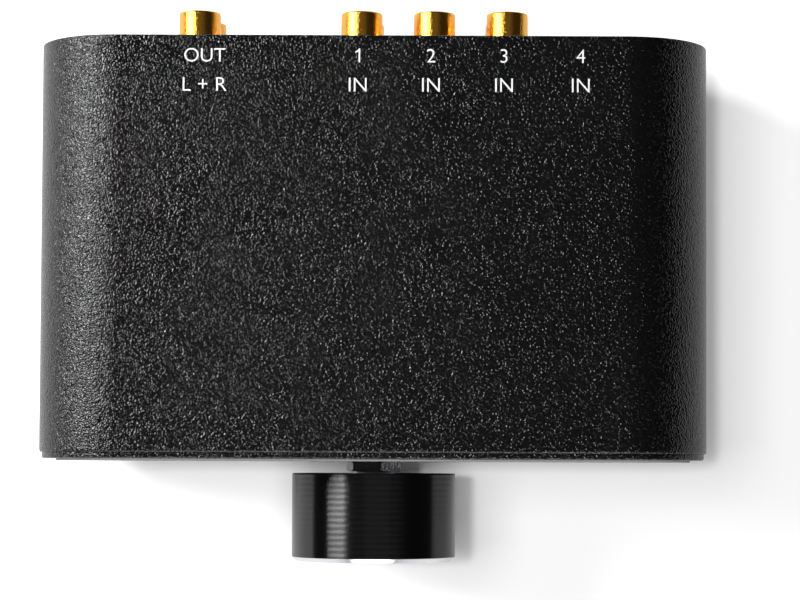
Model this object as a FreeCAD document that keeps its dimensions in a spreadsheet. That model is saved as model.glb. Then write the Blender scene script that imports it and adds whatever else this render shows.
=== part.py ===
import FreeCAD, Part
import math
import operator
import os
import Sketcher

# An audio source selector in a black plastic case: a knob in front, sockets behind.
# Millimetres and degrees. X runs to the right, Y from the front to the rear, Z up.
# The origin lies on the resting surface, under the middle of the whole selector.

SIZES = {
    # Case, front to rear
    "case_width": 133.0,
    "case_height": 48.0,
    "corner_radius": 17.0,
    "shell_length": 81.15,
    "wall": 2.2,
    "edge_bevel": 0.4,
    "joint_height": 24.0,
    "lip_height": 1.6,
    "lip_margin": 10.0,
    "fit_gap": 0.15,
    # Front panel and the glossy plate on it
    "bezel_thickness": 1.2,
    "bezel_inset": 0.5,
    "plug_thickness": 2.0,
    "plate_thickness": 0.4,
    "plate_inset": 3.3,
    "hook_place": 28.0,
    "hook_width": 8.0,
    "hook_thickness": 1.5,
    "catch_start": 6.0,
    "catch_thickness": 1.4,
    "catch_height": 1.4,
    "barb_length": 1.9,
    # Rear panel
    "panel_thickness": 2.0,
    "panel_recess": 3.3,
    "groove_depth": 1.0,
    # Case screws and their posts, from the middle, the front edge and the rear edge
    "case_screw_across": 50.7,
    "case_screw_front": 20.0,
    "case_screw_rear": 20.7,
    "case_screw_radius": 1.45,
    "case_screw_reach": 10.0,
    "case_head_radius": 2.8,
    "case_head_height": 2.0,
    "case_seat_height": 12.0,
    "lower_post_radius": 4.6,
    "upper_post_radius": 3.5,
    "pilot_depth": 12.0,
    "post_hole_gap": 0.2,
    "screw_gap": 0.05,
    "head_gap": 0.3,
    "cross_width": 0.7,
    "cross_depth": 0.8,
    # Feet, from the middle, the front edge and the rear edge
    "foot_radius": 5.5,
    "foot_height": 2.5,
    "foot_recess": 0.6,
    "foot_chamfer": 0.5,
    "foot_across": 43.5,
    "foot_front": 9.0,
    "foot_rear": 9.7,
    # Socket board on its four posts, which are placed ahead of the rear panel
    "board_thickness": 1.6,
    "board_underside": 10.4,
    "board_left": 45.0,
    "board_right": 45.8,
    "board_depth": 33.4,
    "board_gap": 0.2,
    "board_post_across": 40.0,
    "board_post_front": 29.4,
    "board_post_rear": 17.4,
    "board_post_radius": 3.0,
    "board_screw_radius": 1.2,
    "board_screw_reach": 6.0,
    "board_head_radius": 2.4,
    "board_head_height": 1.6,
    # Phono socket pairs
    "output_place": -35.0,
    "first_input_place": -2.6,
    "socket_pitch": 14.55,
    "lower_row_height": 20.5,
    "row_spacing": 12.5,
    "socket_reach": 6.8,
    "socket_radius": 4.15,
    "socket_wall": 0.75,
    "socket_rounding": 0.35,
    "flange_radius": 5.0,
    "flange_thickness": 1.5,
    "panel_hole_gap": 0.4,
    "neck_step": 0.3,
    "neck_reach": 0.3,
    "insulator_recess": 0.6,
    "insulator_depth": 6.0,
    "pin_hole_radius": 1.65,
    "pin_hole_lip": 1.2,
    "pin_hole_depth": 9.4,
    "contact_radius": 2.1,
    "contact_tail_radius": 1.2,
    "housing_half_width": 7.0,
    "housing_depth": 12.0,
    "housing_cap": 6.5,
    "strip_width": 1.2,
    "strip_thickness": 0.5,
    "strip_offset": 3.4,
    "strip_gap": 0.1,
    "pin_tail": 1.2,
    "ground_thickness": 0.4,
    "ground_half_width": 5.4,
    "socket_screw_radius": 1.0,
    "socket_screw_reach": 6.0,
    "socket_head_radius": 1.5,
    "socket_head_height": 1.3,
    # Small stereo socket, fourth input
    "aux_half_width": 3.2,
    "aux_height": 6.0,
    "aux_depth": 14.0,
    "aux_nose_radius": 2.9,
    "aux_bore_radius": 1.8,
    "aux_bore_length": 14.2,
    "aux_spring_width": 2.4,
    "aux_spring_thickness": 0.3,
    # Knob
    "knob_radius": 16.5,
    "knob_length": 16.8,
    "knob_gap": 2.35,
    "knob_height": 24.0,
    "knob_chamfer": 0.8,
    "knob_skirt": 2.5,
    "knob_web": 3.2,
    "knob_seat": 1.6,
    "hub_radius": 7.0,
    "hub_recess": 1.2,
    "trim_inner_radius": 14.7,
    "trim_spigot_radius": 15.4,
    "face_recess": 0.3,
    "pointer_width": 1.2,
    "pointer_start": 5.0,
    "pointer_end": 13.2,
    "pointer_depth": 0.5,
    "insert_radius": 5.0,
    "insert_cover": 1.1,
    "close_gap": 0.05,
    # Shaft and the threaded bush that carries it
    "shaft_radius": 3.0,
    "shaft_flat": 1.5,
    "flat_length": 10.0,
    "running_gap": 0.04,
    "bush_radius": 3.5,
    "bush_past_nut": 0.2,
    "clip_thickness": 0.5,
    "clip_radius": 4.2,
    "clip_groove": 0.5,
    "clip_opening": 3.6,
    "nut_flats": 10.0,
    "nut_thickness": 2.0,
    "nut_turn": 19.0,
    "washer_radius": 6.0,
    "washer_thickness": 0.5,
    # Rotary switch behind the front panel
    "switch_half": 11.0,
    "switch_plate": 2.0,
    "peg_place": 8.0,
    "peg_width": 2.4,
    "peg_depth": 1.6,
    "chamber_depth": 9.0,
    "chamber_radius": 9.5,
    "base_thickness": 2.0,
    "pivot_radius": 2.0,
    "rivet_place": 9.3,
    "rivet_radius": 0.8,
    "rivet_head_radius": 1.5,
    "rivet_head": 0.4,
    "detent_angle": 30.0,
    "travel": 90.0,
    "star_radius": 7.9,
    "star_thickness": 2.4,
    "notch_radius": 1.2,
    "notch_place": 8.4,
    "carrier_radius": 7.4,
    "carrier_thickness": 2.6,
    "rotor_start": 0.5,
    "lug_radius": 9.0,
    "lug_width": 2.4,
    "stop_radius": 7.9,
    "stop_spread": 18.0,
    "spring_thickness": 0.3,
    "spring_width": 2.0,
    "spring_half_length": 6.0,
    "spring_end_height": 8.9,
    "spring_bump_half": 1.6,
    "spring_bump_root": 8.3,
    "spring_bump_tip": 7.35,
    "wiper_thickness": 0.3,
    "wiper_width": 1.6,
    "wiper_start": 3.8,
    "wiper_end": 7.6,
    "stud_radius": 0.5,
    "track_radius": 4.7,
    "track_width": 1.2,
    "track_margin": 12.0,
    "pad_place": 6.9,
    "pad_radius": 0.9,
    "pad_thickness": 0.5,
    "wiper_gap": 0.08,
    "switch_pin_radius": 0.5,
    "switch_pin_tail": 1.5,
    # Small board on the switch, and the flat cable to the socket board
    "switch_board_half": 18.0,
    "switch_board_rise": 16.0,
    "header_rise": 12.5,
    "header_length": 15.0,
    "header_width": 5.8,
    "header_height": 5.0,
    "header_wall": 0.8,
    "header_floor": 1.4,
    "header_place": 25.4,
    "plug_height": 7.5,
    "cable_width": 12.0,
    "cable_thickness": 1.0,
    "cable_bend": 10.0,
}
INPUTS = 3
POSITIONS = 4
HEAD_FLAT = 2 / 3
CROSS_REACH = 3 / 5
PAST = 1
SHEET = "Sizes"
TO_Y = FreeCAD.Rotation(FreeCAD.Vector(1, 0, 0), -90)
UPRIGHT = FreeCAD.Rotation()
OPERATIONS = {"+": operator.add, "-": operator.sub, "*": operator.mul, "/": operator.truediv}

doc = FreeCAD.newDocument("selector")
nodes = {}


class Size:
    """A length or an angle that carries its value and the sheet formula that gives it."""

    def __init__(self, value, formula):
        self.value = float(value)
        self.formula = formula

    def __add__(self, other):
        return combined(self, "+", other)

    def __radd__(self, other):
        return combined(other, "+", self)

    def __sub__(self, other):
        return combined(self, "-", other)

    def __rsub__(self, other):
        return combined(other, "-", self)

    def __mul__(self, other):
        return combined(self, "*", other)

    def __rmul__(self, other):
        return combined(other, "*", self)

    def __truediv__(self, other):
        return combined(self, "/", other)

    def __neg__(self):
        return combined(0, "-", self)


def as_size(number):
    return number if isinstance(number, Size) else Size(number, repr(number))


def combined(first, sign, second):
    first, second = as_size(first), as_size(second)
    value = OPERATIONS[sign](first.value, second.value)
    return Size(value, f"({first.formula} {sign} {second.formula})")


def sine(angle):
    angle = as_size(angle)
    return Size(math.sin(math.radians(angle.value)), f"sin({angle.formula})")


def cosine(angle):
    angle = as_size(angle)
    return Size(math.cos(math.radians(angle.value)), f"cos({angle.formula})")


def fill_sheet():
    """Write every size into the sheet, and hand back the same sizes by name."""
    sheet = doc.addObject("Spreadsheet::Sheet", SHEET)
    for row, (name, number) in enumerate(SIZES.items(), start=1):
        sheet.set(f"A{row}", name)
        sheet.set(f"B{row}", str(number))
        sheet.setAlias(f"B{row}", name)
    doc.recompute()
    return {name: Size(sheet.get(name), f"{SHEET}.{name}") for name in SIZES}


size = fill_sheet()


def bind(thing, name, number):
    """Give a property its value, and tie it to the sheet where a size stands behind it."""
    number = as_size(number)
    setattr(thing, name, number.value)
    if SHEET in number.formula:
        thing.setExpression(name, number.formula)


def place(thing, x=0, y=0, z=0, rotation=UPRIGHT, turn=None):
    """Put a thing at a bound position; turn is a bound angle about Y."""
    spot = [as_size(number) for number in (x, y, z)]
    if turn is not None:
        rotation = FreeCAD.Rotation(FreeCAD.Vector(0, 1, 0), as_size(turn).value)
    thing.Placement = FreeCAD.Placement(FreeCAD.Vector(*[s.value for s in spot]), rotation)
    for axis, number in zip("xyz", spot):
        if SHEET in number.formula:
            thing.setExpression(f".Placement.Base.{axis}", number.formula)
    if turn is not None and SHEET in as_size(turn).formula:
        thing.setExpression(".Placement.Rotation.Angle", as_size(turn).formula)
    return thing


def unused(name):
    """A document name that nothing has yet."""
    count = sum(thing.Name.startswith(name) for thing in doc.Objects)
    return f"{name}_{count + 1}"


def box(name, x, y, z):
    """A block between three pairs of limits."""
    block = doc.addObject("Part::Box", unused(name))
    for side, (low, high) in zip(("Length", "Width", "Height"), (x, y, z)):
        bind(block, side, high - low)
    return place(block, x[0], y[0], z[0])


def rod(name, radius, start, end, x=0, across=0, way="y", sweep=None):
    """A round bar along an axis: across is its height when it runs along Y, else its depth."""
    bar = doc.addObject("Part::Cylinder", unused(name))
    bind(bar, "Radius", radius)
    bind(bar, "Height", end - start)
    if sweep is not None:
        bind(bar, "Angle", sweep)
    if way == "y":
        return place(bar, x, start, across, TO_Y)
    return place(bar, x, across, start)


def joined(name, pieces):
    together = doc.addObject("Part::MultiFuse", unused(name))
    together.Shapes = pieces
    together.Refine = True
    return together


def group(name, pieces):
    """Separate solids that one node holds."""
    together = doc.addObject("Part::Compound", unused(name))
    together.Links = pieces
    return together


def carved(name, base, tools):
    """The base less every tool."""
    result = doc.addObject("Part::Cut", unused(name))
    result.Base = base
    result.Tool = tools[0] if len(tools) == 1 else group(name + "_tools", tools)
    result.Refine = True
    return result


def shared(name, first, second):
    result = doc.addObject("Part::Common", unused(name))
    result.Base = first
    result.Tool = second
    result.Refine = True
    return result


def body_with_outline(name, plane, steps):
    """A body with one closed outline: each step goes straight to a point, or round a centre to it."""
    body = doc.addObject("PartDesign::Body", unused(name))
    sketch = body.newObject("Sketcher::SketchObject", unused(name + "_outline"))
    base = [item for item in body.Origin.OriginFeatures if item.Role == plane][0]
    sketch.AttachmentSupport = [(base, "")]
    sketch.MapMode = "FlatFace"
    steps = [tuple(as_size(number) for number in step) for step in steps]
    drawn = []
    for before, step in zip([steps[-1]] + steps[:-1], steps):
        first = FreeCAD.Vector(before[0].value, before[1].value, 0)
        last = FreeCAD.Vector(step[0].value, step[1].value, 0)
        if len(step) == 2:
            drawn.append((sketch.addGeometry(Part.LineSegment(first, last)), 1, 2))
            continue
        centre = FreeCAD.Vector(step[2].value, step[3].value, 0)
        arms = (first - centre, last - centre)
        angles = [math.atan2(arm.y, arm.x) for arm in arms]
        circle = Part.Circle(centre, FreeCAD.Vector(0, 0, 1), arms[0].Length)
        if arms[0].cross(arms[1]).z > 0:
            drawn.append((sketch.addGeometry(Part.ArcOfCircle(circle, *angles)), 1, 2))
        else:
            drawn.append((sketch.addGeometry(Part.ArcOfCircle(circle, *angles[::-1])), 2, 1))
    for (curve, _, end), (following, start, _) in zip(drawn, drawn[1:] + drawn[:1]):
        sketch.addConstraint(Sketcher.Constraint("Coincident", curve, end, following, start))
    for (curve, _, end), step in zip(drawn, steps):
        tie(sketch, curve, end, "DistanceX", -2, step[0])
        tie(sketch, curve, end, "DistanceY", -1, step[1])
        if len(step) > 2:
            tie(sketch, curve, 3, "DistanceX", -2, step[2])
    return body, sketch


def tie(sketch, curve, point, kind, axis, number):
    """Hold a point of a curve at a bound distance from one of the sketch's axes."""
    if number.formula == "0":
        sketch.addConstraint(Sketcher.Constraint("PointOnObject", curve, point, axis))
        return
    index = sketch.addConstraint(Sketcher.Constraint(kind, -1, 1, curve, point, number.value))
    if SHEET in number.formula:
        sketch.setExpression(f"Constraints[{index}]", number.formula)


def pad(body, sketch, length, rearward=True):
    """Thicken an outline; one drawn on the front plane grows to the rear."""
    feature = body.newObject("PartDesign::Pad", unused(body.Name + "_pad"))
    feature.Profile = sketch
    bind(feature, "Length", length)
    feature.Reversed = rearward
    sketch.Visibility = False
    return feature


def slab(name, half_width, low, high, radius, y, thickness):
    """An upright plate with rounded corners, from y to the rear."""
    inner, bottom, top = half_width - radius, low + radius, high - radius
    steps = [
        (inner, low),
        (half_width, bottom, inner, bottom),
        (half_width, top),
        (inner, high, inner, top),
        (-inner, high),
        (-half_width, top, -inner, top),
        (-half_width, bottom),
        (-inner, low, -inner, bottom),
    ]
    body, sketch = body_with_outline(name, "XZ_Plane", steps)
    pad(body, sketch, thickness)
    return place(body, y=y)


def turned(name, outline, way="y"):
    """A turned piece: the outline gives radius and place along the axis."""
    plane = "XY_Plane" if way == "y" else "XZ_Plane"
    body, sketch = body_with_outline(name, plane, outline)
    feature = body.newObject("PartDesign::Revolution", unused(name + "_turn"))
    feature.Profile = sketch
    feature.ReferenceAxis = (sketch, ["V_Axis"])
    feature.Angle = 360
    return body


# Places that several pieces share, measured from the shell's front edge and the case's underside.
plate_front = -(size["bezel_thickness"] + size["plate_thickness"])
knob_back = plate_front - size["knob_gap"]
front_reach = size["knob_length"] + size["knob_chamfer"] - knob_back
frame_shift = (front_reach - size["shell_length"] - size["socket_reach"]) / 2
panel_outer = size["shell_length"] - size["panel_recess"]
panel_inner = panel_outer - size["panel_thickness"]
board_top = size["board_underside"] + size["board_thickness"]
upper_row_height = size["lower_row_height"] + size["row_spacing"]
middle_row_height = size["lower_row_height"] + size["row_spacing"] / 2
row_heights = (size["lower_row_height"], upper_row_height)
rest_angle = -size["travel"] / 2
switch_front = size["plug_thickness"] + size["washer_thickness"]
chamber_front = switch_front + size["switch_plate"]
chamber_rear = chamber_front + size["chamber_depth"]
base_rear = chamber_rear + size["base_thickness"]
switch_board_rear = base_rear + size["board_thickness"]
nut_front = plate_front - size["nut_thickness"]
bush_front = nut_front - size["bush_past_nut"]
socket_tip = size["panel_thickness"] + size["panel_recess"] + size["socket_reach"]
aux_place = size["first_input_place"] + INPUTS * size["socket_pitch"]
aux_height = board_top + size["aux_height"] / 2
case_screw_spots = [
    (side * size["case_screw_across"], depth)
    for side in (-1, 1)
    for depth in (size["case_screw_front"], size["shell_length"] - size["case_screw_rear"])
]
board_screw_spots = [
    (side * size["board_post_across"], panel_inner - ahead)
    for side in (-1, 1)
    for ahead in (size["board_post_front"], size["board_post_rear"])
]
foot_spots = {
    f"foot_{end}_{side}": (sign * size["foot_across"], depth)
    for end, depth in (("front", size["foot_front"]), ("rear", size["shell_length"] - size["foot_rear"]))
    for side, sign in (("left", -1), ("right", 1))
}
socket_places = {"output": size["output_place"]} | {
    f"input_{number + 1}": size["first_input_place"] + number * size["socket_pitch"]
    for number in range(INPUTS)
}


def node(name, piece, x=0, y=0, z=0, turn=None):
    """Name a finished piece and set it in the frame."""
    piece.Label = name
    place(piece, x, frame_shift + y, size["foot_height"] + z, turn=turn)
    nodes[name] = piece


def case_ring(name):
    """The whole case wall, with its bevelled front edge."""
    half, height, radius = size["case_width"] / 2, size["case_height"], size["corner_radius"]
    ring = slab(name, half, as_size(0), height, radius, 0, size["shell_length"])
    doc.recompute()
    front = [
        f"Edge{number}"
        for number, edge in enumerate(ring.Shape.Edges, start=1)
        if edge.BoundBox.YMax < size["edge_bevel"].value
    ]
    whole = ring.Tip
    bevel = ring.newObject("PartDesign::Chamfer", unused(name + "_bevel"))
    bevel.Base = (whole, front)
    bind(bevel, "Size", size["edge_bevel"])
    wall = size["wall"]
    long = size["shell_length"] + 2 * PAST
    room = slab(name + "_room", half - wall, wall, height - wall, radius - wall, -PAST, long)
    return carved(name + "_wall", ring, [room])


def panel_groove(name):
    """The groove round the inside of the case that holds the rear panel."""
    edge = size["wall"] - size["groove_depth"]
    return slab(
        name,
        size["case_width"] / 2 - edge,
        edge,
        size["case_height"] - edge,
        size["corner_radius"] - edge,
        panel_inner - size["fit_gap"],
        size["panel_thickness"] + 2 * size["fit_gap"],
    )


def side_lips(name, gap):
    """Blocks along both side walls for the lip between the shells: gap is what the lip is less."""
    inner = size["case_width"] / 2 - size["wall"]
    outer = inner + size["wall"] / 2 - gap
    start, end = size["lip_margin"] + gap, panel_inner - size["lip_margin"] - gap
    low, high = size["joint_height"], size["joint_height"] + size["lip_height"] - gap
    return [
        box(name, (-outer, -inner), (start, end), (low, high)),
        box(name, (inner, outer), (start, end), (low, high)),
    ]


def catches(name, wall_face, tip):
    """Ribs inside a shell that the front panel's hooks snap behind."""
    start = size["catch_start"]
    ends = (start, start + size["catch_thickness"])
    half = size["hook_width"] / 2
    low, high = (tip, wall_face) if tip.value < wall_face.value else (wall_face, tip)
    return [
        box(name, (side * size["hook_place"] - half, side * size["hook_place"] + half), ends, (low, high))
        for side in (-1, 1)
    ]


def top_shell():
    """Upper half of the case, with posts that take the case screws."""
    wide, high = size["case_width"] / 2, size["case_height"]
    half = box("top_half", (-wide, wide), (as_size(0), size["shell_length"]), (size["joint_height"], high))
    wall = shared("top_wall", case_ring("top_ring"), half)
    grooved = carved("top_grooved", wall, [panel_groove("top_groove")] + side_lips("top_lip", as_size(0)))
    inside = high - size["wall"] / 2
    posts = [
        rod("top_post", size["upper_post_radius"], size["joint_height"], inside, x, y, way="z")
        for x, y in case_screw_spots
    ]
    pilots = [
        rod(
            "top_pilot",
            size["case_screw_radius"] + size["screw_gap"],
            size["joint_height"],
            size["joint_height"] + size["pilot_depth"],
            x,
            y,
            way="z",
        )
        for x, y in case_screw_spots
    ]
    ceiling = high - size["wall"]
    ribs = catches("top_catch", ceiling + size["wall"] / 2, ceiling - size["catch_height"])
    node("top_shell", carved("top_bored", joined("top_joined", [grooved] + posts + ribs), pilots))


def bottom_shell():
    """Lower half of the case, with screw posts, board posts and seats for the feet."""
    wide, joint = size["case_width"] / 2, size["joint_height"]
    half = box("bottom_half", (-wide, wide), (as_size(0), size["shell_length"]), (as_size(0), joint))
    wall = shared("bottom_wall", case_ring("bottom_ring"), half)
    floor = size["wall"] / 2
    solid = [carved("bottom_grooved", wall, [panel_groove("bottom_groove")])]
    solid += side_lips("bottom_lip", size["fit_gap"])
    solid += catches("bottom_catch", floor, size["wall"] + size["catch_height"])
    holes = []
    for x, y in case_screw_spots:
        clearance = size["case_screw_radius"] + size["post_hole_gap"]
        solid.append(rod("bottom_post", size["lower_post_radius"], floor, joint, x, y, way="z"))
        holes.append(rod("bottom_hole", clearance, as_size(0), joint, x, y, way="z"))
        sink = size["case_head_radius"] + size["head_gap"]
        holes.append(rod("bottom_sink", sink, as_size(-PAST), size["case_seat_height"], x, y, way="z"))
    for x, y in board_screw_spots:
        pilot = size["board_screw_radius"] + size["screw_gap"]
        top = size["board_underside"]
        solid.append(rod("board_post", size["board_post_radius"], floor, top, x, y, way="z"))
        holes.append(rod("board_pilot", pilot, size["wall"], top, x, y, way="z"))
    for x, y in foot_spots.values():
        seat = size["foot_radius"] + size["fit_gap"]
        holes.append(rod("foot_seat", seat, as_size(-PAST), size["foot_recess"], x, y, way="z"))
    node("bottom_shell", carved("bottom_bored", joined("bottom_joined", solid), holes))


def front_panel():
    """Bezel that closes the front: it plugs into the shells and snaps behind their ribs."""
    half, high, radius = size["case_width"] / 2, size["case_height"], size["corner_radius"]
    inset, plug = size["bezel_inset"], size["wall"] + size["fit_gap"]
    deep = size["plug_thickness"]
    bezel = slab(
        "bezel", half - inset, inset, high - inset, radius - inset, -size["bezel_thickness"],
        size["bezel_thickness"],
    )
    insert = slab("bezel_plug", half - plug, plug, high - plug, radius - plug, 0, deep)
    solid = [bezel, insert]
    start, barb = size["catch_start"], size["catch_start"] + size["catch_thickness"] + size["fit_gap"]
    end = barb + size["barb_length"]
    wide, thick, clear = size["hook_width"] / 2, size["hook_thickness"], size["head_gap"]
    for side in (-1, 1):
        x = (side * size["hook_place"] - wide, side * size["hook_place"] + wide)
        under = high - size["wall"] - size["catch_height"] - size["fit_gap"]
        over = size["wall"] + size["catch_height"] + size["fit_gap"]
        solid.append(box("upper_hook", x, (deep / 2, end), (under - thick, under)))
        solid.append(box("upper_barb", x, (barb, end), (under - thick / 2, high - size["wall"] - clear)))
        solid.append(box("lower_hook", x, (deep / 2, end), (over, over + thick)))
        solid.append(box("lower_barb", x, (barb, end), (size["wall"] + clear, over + thick / 2)))
    hole = rod("bush_hole", size["bush_radius"] + size["fit_gap"], plate_front, end, 0, size["knob_height"])
    half_slot = size["peg_width"] / 2 + size["fit_gap"]
    slot = box(
        "peg_slot",
        (size["peg_place"] - half_slot, size["peg_place"] + half_slot),
        (deep - size["peg_depth"], end),
        (size["knob_height"] - half_slot, size["knob_height"] + half_slot),
    )
    node("front_panel", carved("front_bored", joined("front_joined", solid), [hole, slot]))


def front_plate():
    """Glossy plate on the bezel, round the knob."""
    inset = size["plate_inset"]
    plate = slab(
        "plate", size["case_width"] / 2 - inset, inset, size["case_height"] - inset,
        size["corner_radius"] - inset, plate_front, size["plate_thickness"],
    )
    opening = size["bush_radius"] + size["fit_gap"]
    hole = rod("plate_hole", opening, nut_front, as_size(0), 0, size["knob_height"])
    node("front_plate", carved("plate_bored", plate, [hole]))


def rear_panel():
    """Panel in the case's rear groove, with a hole for each socket and each socket screw."""
    edge = size["wall"] - size["groove_depth"] + size["fit_gap"]
    panel = slab(
        "panel", size["case_width"] / 2 - edge, edge, size["case_height"] - edge,
        size["corner_radius"] - edge, 0, size["panel_thickness"],
    )
    ends = (as_size(-PAST), size["panel_thickness"] + PAST)
    holes = []
    socket_hole = size["socket_radius"] + size["panel_hole_gap"]
    screw_hole = size["socket_screw_radius"] + size["head_gap"]
    for x in socket_places.values():
        for height in row_heights:
            holes.append(rod("socket_hole", socket_hole, *ends, x, height))
        holes.append(rod("socket_screw_hole", screw_hole, *ends, x, middle_row_height))
    holes.append(rod("aux_hole", size["aux_nose_radius"] + size["fit_gap"], *ends, aux_place, aux_height))
    node("rear_panel", carved("panel_bored", panel, holes), y=panel_inner)


def screw(name, radius, reach, head_radius, head_height, way):
    """A screw with a cross in its head: the head sits at nought, and the thread runs the other way."""
    outline = [
        (as_size(0), -reach),
        (radius, -reach),
        (radius, as_size(0)),
        (head_radius, as_size(0)),
        (head_radius, head_height * HEAD_FLAT),
        (head_radius * HEAD_FLAT, head_height),
        (as_size(0), head_height),
    ]
    shape = turned(name, outline, way)
    half, arm = size["cross_width"] / 2, head_radius * CROSS_REACH
    depth = (head_height - size["cross_depth"], head_height + PAST)
    across = [(-half, half), (-arm, arm)]
    if way == "y":
        bars = [box(name + "_cross", first, depth, second) for first, second in (across, across[::-1])]
    else:
        bars = [box(name + "_cross", first, second, depth) for first, second in (across, across[::-1])]
    return carved(name + "_cut", shape, bars)


def case_screws():
    """Four long screws, driven from below through the lower posts into the upper ones."""
    reach = size["joint_height"] + size["case_screw_reach"] - size["case_seat_height"]
    screws = []
    for x, y in case_screw_spots:
        piece = screw(
            "case_screw", size["case_screw_radius"], reach, size["case_head_radius"],
            size["case_head_height"], "z",
        )
        over = FreeCAD.Rotation(FreeCAD.Vector(1, 0, 0), 180)
        screws.append(place(piece, x, y, size["case_seat_height"], over))
    node("case_screws", group("case_screw_set", screws))


def feet():
    """Rubber feet in shallow seats."""
    radius, chamfer = size["foot_radius"], size["foot_chamfer"]
    low, high = -size["foot_height"], size["foot_recess"]
    for name, (x, y) in foot_spots.items():
        outline = [
            (as_size(0), low),
            (radius - chamfer, low),
            (radius, low + chamfer),
            (radius, high),
            (as_size(0), high),
        ]
        node(name, turned(name, outline, "z"), x, y)


def socket_pin_spots():
    """Where the phono sockets' strips pass through the board: x, y and both half sizes."""
    wide, thick = size["strip_width"] / 2, size["strip_thickness"] / 2
    back = panel_inner - size["housing_depth"] - size["strip_gap"] - thick
    ground = panel_inner - size["flange_thickness"] - size["ground_thickness"] / 2
    spots = []
    for x in socket_places.values():
        spots += [(x + side * size["strip_offset"], back, wide, thick) for side in (-1, 1)]
        spots.append((x, ground, wide, size["ground_thickness"] / 2))
    return spots


def aux_pin_spots():
    """Places of the small socket's three springs along its body, counted from the panel."""
    step = size["aux_depth"] / 4
    return [(-1, panel_inner - step), (1, panel_inner - 2 * step), (-1, panel_inner - 3 * step)]


def jack_board():
    """Socket board, with a slot for every strip and a hole for every screw."""
    gap, low, high = size["strip_gap"], size["board_underside"], board_top
    board = box(
        "board", (-size["board_left"], size["board_right"]),
        (panel_inner - size["board_depth"], panel_inner - size["board_gap"]), (low, high),
    )
    ends = (low - PAST, high + PAST)
    holes = [
        rod("board_hole", size["board_screw_radius"] + size["head_gap"], *ends, x, y, way="z")
        for x, y in board_screw_spots
    ]
    for x, y, wide, thick in socket_pin_spots():
        sides = (x - wide - gap, x + wide + gap), (y - thick - gap, y + thick + gap)
        holes.append(box("pin_slot", *sides, ends))
    half, wide = size["aux_spring_thickness"] / 2, size["aux_spring_width"] / 2
    for side, y in aux_pin_spots():
        x = aux_place + side * (size["aux_half_width"] + half)
        sides = (x - half - gap, x + half + gap), (y - wide - gap, y + wide + gap)
        holes.append(box("aux_slot", *sides, ends))
    node("jack_board", carved("board_cut", board, holes))


def board_screws():
    """Four short screws that hold the socket board to its posts."""
    screws = []
    for x, y in board_screw_spots:
        piece = screw(
            "board_screw", size["board_screw_radius"], size["board_screw_reach"],
            size["board_head_radius"], size["board_head_height"], "z",
        )
        screws.append(place(piece, x, y, board_top))
    node("board_screws", group("board_screw_set", screws))


def jack_screws():
    """One small screw per phono pair, through the panel into the housing between its sockets."""
    screws = []
    for x in socket_places.values():
        piece = screw(
            "jack_screw", size["socket_screw_radius"], size["socket_screw_reach"],
            size["socket_head_radius"], size["socket_head_height"], "y",
        )
        screws.append(place(piece, x, panel_outer, middle_row_height))
    node("jack_screws", group("jack_screw_set", screws))


def socket_housing(name, x):
    """Moulded block behind the panel that carries one pair of phono sockets."""
    wide, deep = size["housing_half_width"], size["housing_depth"]
    tall = (board_top, upper_row_height + size["housing_cap"])
    block = box("housing", (-wide, wide), (-deep, as_size(0)), tall)
    gap = size["close_gap"]
    bore, flange = size["socket_radius"] - size["socket_wall"] + gap, size["flange_thickness"]
    tail_hole, end = size["contact_tail_radius"] + gap, as_size(PAST)
    holes = []
    for height in row_heights:
        holes.append(rod("flange_seat", size["flange_radius"] + gap, -flange, end, 0, height))
        holes.append(rod("insulator_seat", bore, -size["insulator_depth"], end, 0, height))
        holes.append(rod("tail_hole", tail_hole, -deep - PAST, end, 0, height))
    half, seat = size["ground_half_width"] + gap, flange + size["ground_thickness"]
    tall = (board_top - PAST, upper_row_height + half)
    holes.append(box("ground_seat", (-half, half), (-seat, end), tall))
    pilot = size["socket_screw_radius"] + size["screw_gap"]
    holes.append(rod("housing_pilot", pilot, -size["socket_screw_reach"], end, 0, middle_row_height))
    node(f"{name}_housing", carved("housing_cut", block, holes), x, panel_inner)


def socket_shells(name, x):
    """Two gold-plated outer shells, each clamped by its flange behind the panel."""
    radius, wall, ease = size["socket_radius"], size["socket_wall"], size["socket_rounding"]
    shells = []
    for height in row_heights:
        outline = [
            (radius - wall, -size["flange_thickness"]),
            (size["flange_radius"], -size["flange_thickness"]),
            (size["flange_radius"], as_size(0)),
            (radius + size["neck_step"], as_size(0)),
            (radius + size["neck_step"], size["panel_thickness"] + size["neck_reach"]),
            (radius, size["panel_thickness"] + size["neck_reach"]),
            (radius, socket_tip - ease),
            (radius - ease, socket_tip, radius - ease, socket_tip - ease),
            (radius - wall, socket_tip),
        ]
        shells.append(place(turned("socket_shell", outline), z=height))
    node(f"{name}_shells", group("shell_pair", shells), x, panel_inner)


def socket_insulator(name, x, height):
    """Coloured plug inside a shell, with the hole for the mating pin."""
    outer = size["socket_radius"] - size["socket_wall"] - size["close_gap"]
    face = socket_tip - size["insulator_recess"]
    shoulder, floor = face - size["pin_hole_lip"], face - size["pin_hole_depth"]
    room, tail = size["contact_radius"] + size["close_gap"], size["contact_tail_radius"] + size["close_gap"]
    outline = [
        (tail, -size["insulator_depth"]),
        (outer, -size["insulator_depth"]),
        (outer, face),
        (size["pin_hole_radius"], face),
        (size["pin_hole_radius"], shoulder),
        (room, shoulder),
        (room, floor - size["pin_hole_lip"]),
        (tail, floor - size["pin_hole_lip"]),
    ]
    node(name, turned("insulator", outline), x, panel_inner, height)


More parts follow.
